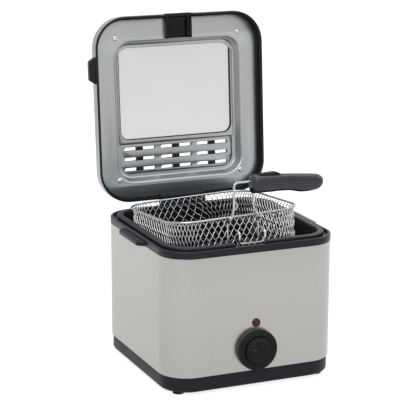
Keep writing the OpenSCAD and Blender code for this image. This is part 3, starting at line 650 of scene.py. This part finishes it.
def front_panel():
    """Dial plate and signal lamp, each turned about its own axis through the front."""
    front = -BODY_D / 2
    dial = soften([(0, 7.2, 0), (0, 23.6, 0), (2.6, 23.6, 0.5), (2.6, 7.2, 0)])
    piece("dial_plate", *skin(to_front(turned(dial, 72)) + (0, front, Z_KNOB), True), place_stand, DIAL,
          "housing", "dial_plate", ["dial_ring"])
    lamp = soften([(-4, 0.0, 0), (-4, 4.0, 0), (0, 4.0, 0), (0, 4.9, 0), (1.3, 4.9, 0.5), (1.3, 4.0, 0),
                   (1.0, 3.7, 0.1), (2.6, 3.6, 1.3), (2.6, 0.0, 0)], 5)
    piece("signal_lamp", *skin(to_front(turned(lamp, 32)) + (0, front, Z_LAMP)), place_stand, LAMP,
          "housing", "lamp_red", ["lamp_lens"])


POINTER = math.radians(20)     # how far the knob's pointer stands up from level
KNOB_DEEP = 8.0                # depth at which the knob's profile is drawn


def control_knob():
    """Knob: skirt, groove, raised step and cap, with a pointer rib across the cap."""
    profile = soften([(0, 0.0, 0), (0, 23.3, 0.3), (3.6, 23.5, 1.0), (3.6, 16.8, 0.4), (2.8, 16.3, 0.2),
                      (2.8, 15.8, 0.2), (6.0, 15.4, 1.2), (6.0, 12.8, 0.6), (7.75, 11.9, 0.8),
                      (7.75, 0.0, 0)], 5)
    rib = oblong(6.6, 1.6, -7.2, 0, 0.78, 4) @ turn("Z", POINTER)[:2, :2]
    back, front = box_mm("control_knob")[1][1] - MID_Y, box_mm("control_knob")[0][1] - MID_Y
    deeper = (1, (back - front) / KNOB_DEEP, 1)
    knob, faces = skin(to_front(turned(profile, 96)))
    piece("knob_cap", knob * deeper + (0, back, Z_KNOB), faces, place_stand, KNOB_BLACK, "knob",
          "knob_gloss", ["control_knob"])
    mark, faces = skin(to_front(prism(rib, [(7.0, 0), (7.85, 0), (KNOB_DEEP, 0.25)])))
    # The rib's paler grey is a painted highlight: the pointer's glint.
    piece("knob_pointer", mark * deeper + (0, back, Z_KNOB), faces, place_stand, POINTER_PAINTED_GLINT, "knob",
          "dial_plate")


# ---- lid, drawn closed ----

HINGE_HALF = 30.0                         # half the gap in the lid's back edge
LATCH_ENDS = ((17.6, 1), (24.6, -1))      # where the front edge ends beside the latch, right and left


def lid_wall(section, ends):
    """A section carried along both sides of the lid's edge, from each of its front ends to the hinge."""
    return [band(carried(half(LID_W, LID_D, LID_R, front, HINGE_HALF, side, 16), section, (0, LID_Y)))
            for front, side in ends]


def lid_shell():
    """Outer shell: wall with gaps for hinge and latch, rounded shoulder, flat top with two openings."""
    z0, z1, z2 = Z_LID + 1.5, Z_LID + 5.7, Z_GAP
    low = np.array([(0, z0), (0, z1), (-1, z1), (-1, z0)])
    mid = np.array([(0, z1), (0, z2), (-1, z2), (-1, z1)])
    parts = lid_wall(low, LATCH_ENDS) + lid_wall(mid, ((0.0, -1), (0.0, 1)))
    over = soften([(0, z2, 0), (0.15, z2 + 2, 9), (3.2, z2 + 8.4, 10), (9.5, Z_TOP - 0.8, 10),
                   (15, Z_TOP, 9), (18, Z_TOP, 0)], 5)
    under = soften([(18, Z_TOP - 1, 0), (15, Z_TOP - 1, 8), (10, Z_TOP - 1.8, 9), (4.2, z2 + 7.8, 9),
                    (1.15, z2 + 2, 8), (1, z2, 0)], 5)
    rows = [(LID_W - 2 * i, LID_D - 2 * i, LID_R - i, z, LID_Y) for i, z in np.vstack([over, under])]
    parts.append(skin(stacked(rows, 16), True))
    w, d, r, cy = WINDOW
    holes = [loop(w + 6, d + 6, r + 3, 10, 2)[0] + (0, cy), loop(146.3, 34.1, 6, 6, 2)[0] + (0, SLOT_Y[1])]
    top = loop(LID_W - 36, LID_D - 36, LID_R - 18, 16, 2)[0] + (0, LID_Y)
    parts.append(punched(top, holes, Z_TOP - 1, Z_TOP, 0.05))
    piece("lid_cover", *together(*parts), place_open, LID_STEEL, "lid", "brushed_lid", ["lid_shell"])


def lid_frame():
    """Black edge frame: a step under the shell's edge and a tall inner wall, open at the hinge."""
    z1 = Z_LID + 3.7
    low = soften([(-2.6, Z_LID, 0.6), (-0.1, Z_LID, 0.5), (-0.1, Z_LID + 1.4, 0.1),
                  (-1.2, Z_LID + 1.4, 0.1), (-1.2, z1, 0), (-2.6, z1, 0)], 3)
    low = np.vstack([low, [(-2.6, Z_LID + 0.5)]])
    high = np.array([(-1.2, z1), (-1.2, Z_PLATE - 0.1), (-2.6, Z_PLATE - 0.1), (-2.6, z1)])
    parts = lid_wall(low, LATCH_ENDS) + lid_wall(high, ((0.0, -1), (0.0, 1)))
    piece("lid_edge", *together(*parts), place_open, RIM_BLACK, "lid", "black_moulding", ["lid_frame"])


SHEET = 0.8      # thickness of the pressed lining


def inner_plate():
    """Pressed lining: flat border with room for the hinge, sloped walls and window floor.

    At the hinge end a deeper tray of vent slots runs out to the same walls."""
    w, d, r, cy = POCKET
    z_floor, z_tray = Z_PLATE + 10.5, Z_PLATE + 12.7
    press = soften([(-2.5, Z_PLATE, 0), (0, Z_PLATE, 2.2), (4.6, z_floor, 2.4), (8, z_floor, 0)], 6)
    under = [(w - 2 * i, d - 2 * i, max(r - i, 8.0), z, cy) for i, z in press]
    over = [(w - 2 * i - 1.2, d - 2 * i - 1.2, max(r - i - 0.6, 8.0), z + SHEET, cy)
            for i, z in press[::-1]]
    parts = [skin(stacked(under + over, 16), True)]
    edge = loop(LID_W - 2.6, LID_D - 2.6, LID_R - 1.3, 16, 6)[0] + (0, LID_Y)
    back, keep = edge[:, 1].max(), HINGE[1] - 2.6
    split = int(np.argmax((edge[:, 1] > back - 0.01) & (edge[:, 0] < HINGE_HALF)))
    edge = edge[~((edge[:, 1] > back - 0.01) & (abs(edge[:, 0]) < HINGE_HALF))]
    corners = [(HINGE_HALF, back), (HINGE_HALF, keep), (-HINGE_HALF, keep), (-HINGE_HALF, back)]
    edge = np.insert(edge, split, corners, 0)
    mouth = loop(w + 5, d + 5, r + 2.5, 16, 2)[0] + (0, cy)
    parts.append(punched(edge, [mouth], Z_PLATE, Z_PLATE + SHEET, 0.1))
    half_w, y0, y1 = w / 2 - 5.2, SLOT_Y[0] - 7.6, cy + d / 2 - 5.2
    well = soften([(0, y0, 0), (half_w, y0, 4), (half_w, y1, 16), (-half_w, y1, 16), (-half_w, y0, 4),
                   (0, y0, 0)], 8)[:-1]
    dip = [(z_floor, -0.1), (z_floor + 0.15, 0.3), (z_floor + 0.6, 0.6), (z_tray - 0.5, 1.1),
           (z_tray - 0.1, 1.6), (z_tray, 2.2)]
    lined = prism(well, dip + [(z + SHEET, i - 0.6) for z, i in dip[::-1]])
    parts.append(skin(lined, True))
    ww, wd, wr, wy = WINDOW
    opening = prism(well, [(0, 0.1)])[0][:, :2]
    rim = loop(w - 8.6, d - 8.6, r - 4.3, 16, 2)[0] + (0, cy)
    holes = [loop(ww, wd, wr, 12, 2)[0] + (0, wy), opening]
    parts.append(punched(rim, holes, z_floor, z_floor + SHEET, 0.1))
    slots = [oblong(40, 4.2, x, y) for x in SLOT_X for y in SLOT_Y]
    parts.append(punched(prism(well, [(0, 2.1)])[0][:, :2], slots, z_tray, z_tray + SHEET, 0.15))
    piece("pressed_lining", *together(*parts), place_open, LINING, "lid", "lid_lining", ["lid_inner_plate"])
    lip_low, lip_high = z_floor + 0.35, z_floor + 3.3
    lip = np.array([(-0.9, lip_low), (0.2, lip_low), (0.2, lip_high), (-0.9, lip_high)])
    piece("window_lip", *hoop(ww, wd, wr, lip, wy, 14), place_open, RUBBER, "lid", "seal_rubber")


def lid_latch():
    """Latch block in the lid's front edge: two cheeks with a deep hollow between them, thin lip outside."""
    y0, y1, z0, z1 = LID_FRONT - 0.6, LID_FRONT + 28.6, Z_LID + 3.8, Z_PLATE - 0.2
    lip = [(y0 + 15, z0, 0), (y0, z0, 1.0), (y0, Z_LID + 11, 0.4), (LID_FRONT - 0.05, Z_LID + 11, 0.2),
           (LID_FRONT - 0.05, z0 + 1.8, 0), (LID_FRONT + 5.7, z0 + 1.8, 0), (LID_FRONT + 5.7, z1, 0)]
    cheek = soften(lip + [(y1, z1, 0), (y1, z0, 1.5), (y0 + 15.2, z0, 0)], 4)[::-1]
    hollow = soften(lip + [(y1 - 0.3, z1, 0), (y1 - 0.3, z0 + 0.9, 1.0), (y1 - 1.2, z0 + 0.9, 0.5),
                           (y1 - 2.6, z1 - 1.0, 1.0), (LID_FRONT + 11.5, z1 - 1.0, 2.5),
                           (LID_FRONT + 7.2, z0 + 2.6, 1.0), (LID_FRONT + 4.2, z0 + 1.6, 0.8),
                           (LID_FRONT + 2.8, z0, 0.6)], 4)
    hollow[0] = (LID_FRONT + 2.6, z0)
    parts = [skin(to_right(prism(cheek, [(a, 0.5), (a + 0.6, 0), (b - 0.6, 0), (b, 0.5)])))
             for a, b in ((-16.6, -12.2), (10.6, 13.4), (13.6, 16.8))]
    parts.append(skin(to_right(prism(hollow[::-1], [(-12.6, 0), (11.0, 0)]))))
    piece("latch_block", *together(*parts), place_open, LATCH_BLACK, "lid", "black_moulding", ["lid_latch"])


def side_tab():
    """Lift tab on the lid's left edge."""
    y, x = LID_FRONT + 60.5, -LID_W / 2
    outline = soften([(x + 1, y + 17, 0), (x, y + 16, 1), (x - 7.8, y + 11, 3), (x - 7.8, y - 11, 3),
                      (x, y - 16, 1), (x + 1, y - 17, 0)], 5)
    z = Z_LID + 3
    grid = prism(outline, [(z, 0.8), (z + 0.7, 0), (z + 5.3, 0), (z + 6, 0.8)])
    piece("lift_tab", *skin(grid), place_open, RIM_BLACK, "lid", "black_moulding", ["lid_side_tab"])


def lid_screws():
    """Four pan heads: height falls off to the edge, and a cross of two slots is sunk in the middle."""
    r = np.concatenate([np.linspace(0, 2.2, 14), np.linspace(2.35, 3.1, 6)])[:, None]
    a = np.linspace(0, 2 * math.pi, 48, endpoint=False)[None]
    x, y = r * np.cos(a + 0.4), r * np.sin(a + 0.4)
    near, far = np.minimum(abs(x), abs(y)), np.maximum(abs(x), abs(y))
    cross = np.clip((0.55 - near) / 0.2, 0, 1) * np.clip((1.95 - far) / 0.3, 0, 1)
    dome = 1.7 * np.sqrt(np.clip(1 - (r / 3.12) ** 2.6, 0, 1)) - 0.9 * cross
    head = np.stack([x, y, -dome + 0 * x], 2)
    back = np.stack([x[-1:], y[-1:], np.full_like(x[-1:], 0.6)], 2)
    head = np.concatenate([head, back])
    parts = [skin(head + (sx * 78.5, y0, Z_PLATE)) for sx in (-1, 1)
             for y0 in (LID_FRONT + 25, LID_FRONT + LID_D - 25.6)]
    piece("lining_screws", *together(*parts), place_open, SCREW, "lid", "bright_screw", ["lid_screws"],
          crease=50)


# ---- basket ----

def basket_rim():
    path = np.column_stack([loop(BASKET_W, BASKET_D, BASKET_R, 14, 8)[0], np.zeros(14 * 4 + 40)])
    grid = along(path, 1.25, 12, True, np.array([0.0, 0.0, 1.0]))
    piece("rim_wire", *skin(grid, True), place_hung, CHROME, "basket", "basket_wire", ["basket_rim"])


MESH_STEP = 7.5       # same-family distance of the woven wires along the wall
MESH_LEAN = 0.6       # sideways run of a woven wire for each unit down the wall
MESH_LEVEL = MESH_STEP / (2 * MESH_LEAN)
MESH_R = 0.43
MESH_CRIMP = 0.4      # share by which a wire stands up straighter where it crosses another
MESH_SWING = 0.36     # how far a wire swings out and in as it passes the others
MESH_SKEW = -1.0      # how far the back wall's cloth is pulled askew, as a share of the lean
MESH_BEND = 6.0       # radius where the wall turns into the floor


def wires(paths, normals, radius, sides=5):
    """Tubes round many paths at once: point + radius * (cos a * side + sin a * normal), ends closed."""
    t = np.gradient(paths, axis=1)
    t /= np.linalg.norm(t, axis=2)[..., None]
    side = np.cross(normals, t)
    side /= np.linalg.norm(side, axis=2)[..., None]
    up = np.cross(t, side)
    a = np.linspace(0, 2 * math.pi, sides, endpoint=False)[:, None]
    grid = paths[:, :, None] + radius * (np.cos(a) * side[:, :, None] + np.sin(a) * up[:, :, None])
    count, n = grid.shape[:2]
    one = quads(n, sides, False, True)
    faces = (one[None] + (np.arange(count) * n * sides)[:, None, None]).reshape(-1, 4)
    first = np.arange(sides)[None] + (np.arange(count) * n * sides)[:, None]
    return grid.reshape(-1, 3), [tuple(f) for f in faces] + [tuple(f) for f in first] \
        + [tuple(f) for f in first + (n - 1) * sides]


def basket_mesh():
    """Woven wall and floor.

    A wall wire runs down the wall at a lean: c = start +- lean * depth, with c the cloth's length
    along the wall. Round the corners, where the cloth is gathered, it counts about double, and the
    cloth of the back wall is pulled askew. Wires of the two leans pass in front of and behind each
    other as cosines of the depth."""
    w, d, r = BASKET_W - 4.3, BASKET_D - 4.3, BASKET_R - 2.15
    pts, outs = loop(w, d, r, 24, 16)
    pts, outs = np.vstack([pts, pts[:1]]), np.vstack([outs, outs[:1]])
    length = np.concatenate([[0], np.cumsum(np.linalg.norm(np.diff(pts, axis=0), axis=1))])
    lx, ly, arc = w - 2 * r, d - 2 * r, r * math.pi / 2
    knots = np.cumsum([0, lx / 2, arc, ly, arc, lx, arc, ly, arc, lx / 2])
    along_wall = np.linspace(0, knots[-1], 1600)
    gather = 1 + sum((g - 1) * np.interp(along_wall, [a - 4, a + 6, b - 6, b + 4], [0, 1, 1, 0])
                     for g, a, b in zip((2.0, 2.2, 1.9, 1.9), knots[1::2], knots[2::2]))
    run_up = np.concatenate([[0], np.cumsum((gather[1:] + gather[:-1]) / 2 * along_wall[1])])
    cloth = np.interp(knots, along_wall, run_up)
    count = round(cloth[-1] / MESH_STEP)
    start = np.arange(count) * cloth[-1] / count
    upright = BASKET_H - MESH_BEND
    q = np.linspace(0.7, upright + MESH_BEND * math.pi / 2 - 0.5, 44)
    bend = np.clip((q - upright) / MESH_BEND, 0, math.pi / 2)
    inward = MESH_BEND * (1 - np.cos(bend))
    z = -np.minimum(q, upright) - MESH_BEND * np.sin(bend)
    lots = []
    crimped = q - MESH_CRIMP * MESH_LEVEL / (2 * math.pi) * np.sin(2 * math.pi * q / MESH_LEVEL)
    for lean in (MESH_LEAN, -MESH_LEAN):
        c = (start[:, None] + lean * crimped[None]) % cloth[-1]
        ease = np.interp(c, [cloth[4], cloth[4] + 40, cloth[5] - 30, cloth[5]], [0, 1, 0, 0]) \
            * (c > cloth[4]) * (c < cloth[5])
        s = np.interp((c + MESH_SKEW * MESH_LEAN * ease * q[None]) % cloth[-1], run_up,
                      along_wall * length[-1] / knots[-1])
        at = np.stack([np.interp(s, length, pts[:, k]) for k in (0, 1)], 2)
        out = np.stack([np.interp(s, length, outs[:, k]) for k in (0, 1)], 2)
        out /= np.linalg.norm(out, axis=2)[..., None]
        weave = math.copysign(MESH_SWING, lean) * np.cos(math.pi * q / MESH_LEVEL)
        at = at + out * (weave * np.cos(bend) - inward)[None, :, None]
        up = np.broadcast_to((z - weave * np.sin(bend))[None, :, None], at.shape[:2] + (1,))
        normal = np.concatenate([out * np.cos(bend)[None, :, None],
                                 np.broadcast_to(-np.sin(bend)[None, :, None], out.shape[:2] + (1,))], 2)
        lots.append(wires(np.concatenate([at, up], 2), normal, MESH_R))
    flat = []
    hw, hd, hr = w / 2 - 5.7, d / 2 - 5.7, r - 5.7
    for lean in (1, -1):
        y = np.linspace(-hd, hd, 240)
        for x0 in np.arange(-26, 27) * MESH_STEP:
            x = x0 + lean * MESH_LEAN * y
            over = np.hypot(np.maximum(abs(x) - hw + hr, 0), np.maximum(abs(y) - hd + hr, 0))
            inside = y[(over <= hr) & (abs(x) <= hw)]
            if len(inside) > 4:
                yy = np.linspace(inside[0], inside[-1], 40)
                weave = lean * MESH_SWING * np.cos(math.pi * yy / MESH_LEVEL)
                flat.append(np.column_stack([x0 + lean * MESH_LEAN * yy, yy, weave - BASKET_H]))
    flat = np.array(flat)
    lots.append(wires(flat, np.broadcast_to(np.array([0.0, 0.0, -1.0]), flat.shape), MESH_R))
    piece("woven_wires", *together(*lots), place_hung, MESH_METAL, "basket", "basket_net", ["basket_mesh"],
          crease=80, mend=False)


def basket_hook():
    """Hook of one bent wire: over the ring's notch at both ends and across in front."""
    y = -(POT_W / 2 - 1.55)
    top, low = Z_RING + 9.6, Z_RING - 3.2
    end = box_mm("basket_hook")[1][1] - MID_Y
    path = soften([(-14.5, end, top, 0), (-14.5, y, top, 2.2), (-14.5, y, low, 3), (16.5, y, low, 3),
                   (16.5, y, top, 2.2), (16.5, end, top, 0)], 6)
    # Paler, glossier wire: a painted highlight for the hook's glint.
    piece("hook_wire", *skin(tube_rings(path, 1.25)), place_stand, HOOK_PAINTED_GLINT, "basket", "basket_wire",
          ["basket_hook"])


def tube_rings(path, radius, sides=10):
    """Rings round a path that bends in space; the first side is carried along, square to each step."""
    t = np.gradient(path, axis=0)
    t /= np.linalg.norm(t, axis=1)[:, None]
    side = np.cross(t[0], (0.3, 0.5, 0.8))
    rows = []
    a = np.linspace(0, 2 * math.pi, sides, endpoint=False)[:, None]
    for p, v in zip(path, t):
        side = side - v * (side @ v)
        side /= np.linalg.norm(side)
        rows.append(p + radius * (np.cos(a) * side + np.sin(a) * np.cross(v, side)))
    return np.array(rows)


# ---- handle ----

LEG_FOOT, LEG_TOP = (-22.4, 9.2), (-20.4, 2.9)


def handle_wire():
    """One wire: eye, left leg, cross bar, right leg, eye."""
    y, z = PIVOT[1], PIVOT[2]
    bend, bar = z + 11.5, z + 40
    path = soften([(LEG_FOOT[0] - 4.2, y, z, 0), (LEG_FOOT[0], y, z, 2.5), (LEG_TOP[0], y, bend, 14),
                   (LEG_TOP[0], y, bar, 4), (LEG_TOP[1], y, bar, 3), (LEG_TOP[1], y, bend, 14),
                   (LEG_FOOT[1], y, z, 2.5), (LEG_FOOT[1] + 4.2, y, z, 0)], 7)
    piece("handle_bail", *skin(tube_rings(path, 1.3, 12)), place_stand, CHROME, "handle", "basket_wire",
          ["handle_wire"])
    y_strip = y + 1.6
    strip = soften([(-19.2, y_strip, z + 19.5, 0), (-14.6, y_strip, z + 12.5, 3),
                    (-21.2, y_strip, z + 7, 0)], 6)
    grid = along(strip, 0.9, 8, flat=np.array([0.0, 1.0, 0.0]))
    piece("bail_catch", *skin(grid), place_stand, CHROME, "handle", "basket_wire")


def through(points, x):
    """Smooth curve through (x, value) points: cubic pieces that share their slope at each point."""
    xs, ys = np.array(points, float).T
    m = np.gradient(ys, xs)
    i = np.clip(np.searchsorted(xs, x) - 1, 0, len(xs) - 2)
    h = xs[i + 1] - xs[i]
    t = (x - xs[i]) / h
    return ((2 * t ** 3 - 3 * t ** 2 + 1) * ys[i] + (t ** 3 - 2 * t ** 2 + t) * h * m[i]
            + (3 * t ** 2 - 2 * t ** 3) * ys[i + 1] + (t ** 3 - t ** 2) * h * m[i + 1])


GRIP_L = 83.0
GRIP_ROUND = 0.86      # below 1, the grip's section is fuller than an ellipse


def grip():
    """Two shells of the grip, flange and slider.

    Each shell is a row of near half ellipses that follow the grip's outline, split along the middle."""
    tip = GRIP_L * (1 - (1 - np.linspace(0, 1, 15)) ** 2 * 0.16)
    x = np.concatenate([[0.0, 0.35, 1.0], np.linspace(2.5, GRIP_L * 0.84, 40)[:-1], tip])
    end = np.sqrt(np.clip(1 - np.clip((x - GRIP_L + 9.5) / 9.5, 0, 1) ** 2.1, 0, 1))
    edge = np.clip(x, 0, 1) ** 0.5
    ease = (0.965 + 0.035 * edge) * np.maximum(end, 0.002)
    top = through([(0, 9.8), (20, 10.2), (45, 9.9), (60, 9.3), (70, 8.8), (78, 8.2),
                   (GRIP_L, 7.6)], x) * ease
    low = through([(0, 9.9), (15, 9.7), (30, 8.7), (42, 8.9), (55, 10.8), (62, 10.8), (70, 9.9), (78, 8.2),
                   (GRIP_L, 7.0)], x) * ease
    thick = through([(0, 8.4), (20, 8.1), (40, 7.6), (58, 8.0), (70, 7.8), (78, 7.2),
                     (GRIP_L, 6.4)], x) * ease
    a = np.linspace(0, math.pi, 25)
    edge_y = np.ones(len(a))
    edge_y[[0, -1]] = 0.985
    for name, node, high, sign in (("grip_shell_upper", "grip_upper", top, 1),
                                   ("grip_shell_lower", "grip_lower", low, -1)):
        y = thick[:, None] * np.sign(np.cos(a)) * np.abs(np.cos(a)) ** GRIP_ROUND
        z = sign * (0.12 + high[:, None] * np.sin(a) ** GRIP_ROUND)
        grid = np.stack([np.broadcast_to(x[:, None], y.shape), y * edge_y, z], 2)
        piece(name, *skin(grid), place_grip, GRIP_BLACK, "handle", "grip_black", [node])
    flange = soften([(-7, 0.0, 0), (-7, 5.2, 0.8), (-3.8, 10.5, 0.8), (-0.2, 10.7, 0.8), (-0.2, 0.0, 0)], 4)
    piece("grip_collar", *skin(to_right(turned(flange, 48))), place_grip, GRIP_BLACK, "handle",
          "grip_black", ["grip_flange"])
    outline = soften([(2.4, 8.2, 0), (29.3, 8.2, 0), (29.3, 10.0, 1.2), (26.0, 12.3, 2), (21.7, 13.2, 3),
                      (14.0, 12.3, 8), (2.4, 10.9, 1.0), (2.4, 8.4, 0)], 4)
    grid = prism(outline, [(-3.9, 0.7), (-3.2, 0), (3.2, 0), (3.9, 0.7)])
    grid = np.stack([grid[..., 0], grid[..., 2], grid[..., 1]], -1)
    piece("thumb_slider", *skin(grid), place_grip, KNOB_BLACK, "slider", "slider_black", ["release_slider"])


# ---- room, light and camera ----

FLOOR_HALF = 3.0                      # metres
LIT_AT = Vector((0, -0.013, 0.12))    # what the lamps point at, in metres


def seen_white(b):
    """1 for camera, mirror and glass rays, which see the white background; 0 for all other rays."""
    camera_ray, mirror_ray, glass_ray = (b.node("ShaderNodeLightPath", output=f"Is {kind} Ray")
                                         for kind in ("Camera", "Glossy", "Transmission"))
    either = b.node("ShaderNodeMath", {"operation": "MAXIMUM"}, {0: camera_ray, 1: mirror_ray})
    return b.node("ShaderNodeMath", {"operation": "MAXIMUM"}, {0: either, 1: glass_ray})


def room():
    """Pale floor and white backdrop, the same for the camera, for metal and for glass, and the lamps.

    The floor keeps the object's soft shadow."""
    paint = bpy.data.materials.new("pale floor")
    b = Board(paint)
    where = b.node("ShaderNodeTexCoord", output="Object")
    x, y = (b.node("ShaderNodeSeparateXYZ", {}, {0: where}, output=k) for k in "XY")
    far = b.node("ShaderNodeMath", {"operation": "SQRT"}, {0: x * x + y * y})
    level = b.node("ShaderNodeMapRange", {},
                   {"Value": far, "From Min": 0.25, "From Max": 0.8, "To Min": 0.84, "To Max": 1.0})
    seen = b.node("ShaderNodeEmission", {}, {"Strength": level * seen_white(b)})
    lit = b.node("ShaderNodeBsdfDiffuse", {}, {"Color": (0.32, 0.32, 0.32, 1)})
    both = b.node("ShaderNodeAddShader", {}, {0: seen, 1: lit})
    b.node("ShaderNodeOutputMaterial", {}, {"Surface": both}, output=None)
    corners = [(sx * FLOOR_HALF, sy * FLOOR_HALF, 0) for sx, sy in ((-1, -1), (1, -1), (1, 1), (-1, 1))]
    floor = bpy.data.meshes.new("floor")
    floor.from_pydata(corners, [], [(0, 1, 2, 3)])
    floor.materials.append(paint)
    obj = bpy.data.objects.new("floor", floor)
    bpy.context.scene.collection.objects.link(obj)

    world = bpy.data.worlds.new("studio")
    bpy.context.scene.world = world
    b = Board(world)
    white = b.node("ShaderNodeBackground", {}, {"Color": (1, 1, 1, 1), "Strength": 1.0})
    soft = b.node("ShaderNodeBackground", {}, {"Color": (1, 1, 1, 1), "Strength": 0.45})
    mixed = b.node("ShaderNodeMixShader", {}, {0: seen_white(b), 1: soft, 2: white})
    b.node("ShaderNodeOutputWorld", {}, {"Surface": mixed}, output=None)

    for name, at, size, power, tint in (
            ("key", (-1.2, -1.5, 1.5), (1.1, 1.1), 22, (1, 0.99, 0.97)),
            ("fill", (2.0, -0.5, 1.6), (1.2, 1.0), 10, (0.97, 0.98, 1)),
            ("top", (0.2, -0.1, 2.0), (2.6, 2.0), 26, (1, 1, 1))):
        lamp = bpy.data.lights.new(name, "AREA")
        lamp.shape, lamp.size, lamp.size_y = "RECTANGLE", *size
        lamp.energy, lamp.color = power, tint
        o = bpy.data.objects.new(name, lamp)
        o.location = at
        o.rotation_mode = "QUATERNION"
        o.rotation_quaternion = (LIT_AT - Vector(at)).to_track_quat("-Z", "Y")
        bpy.context.scene.collection.objects.link(o)


def camera():
    data = bpy.data.cameras.new("camera")
    data.lens, data.sensor_width = 144.76, 36
    data.shift_x, data.shift_y = 0.0024, 0.1471
    data.clip_start, data.clip_end = 0.05, 30
    obj = bpy.data.objects.new("camera", data)
    obj.location = (-0.76815, -1.72945, 0.66027)
    look = Vector((756.32, 1716.45, -551.20)).to_track_quat("-Z", "Y")
    obj.rotation_mode = "QUATERNION"
    obj.rotation_quaternion = look @ Euler((0, 0, math.radians(0.265))).to_quaternion()
    bpy.context.scene.collection.objects.link(obj)
    bpy.context.scene.camera = obj


base_tray()
steel_housing()
rim_collar()
oil_pot()
front_panel()
control_knob()
lid_shell()
lid_frame()
inner_plate()
lid_latch()
side_tab()
lid_screws()
basket_rim()
basket_mesh()
basket_hook()
handle_wire()
grip()
room()
camera()
bpy.context.scene.view_settings.view_transform = "Standard"
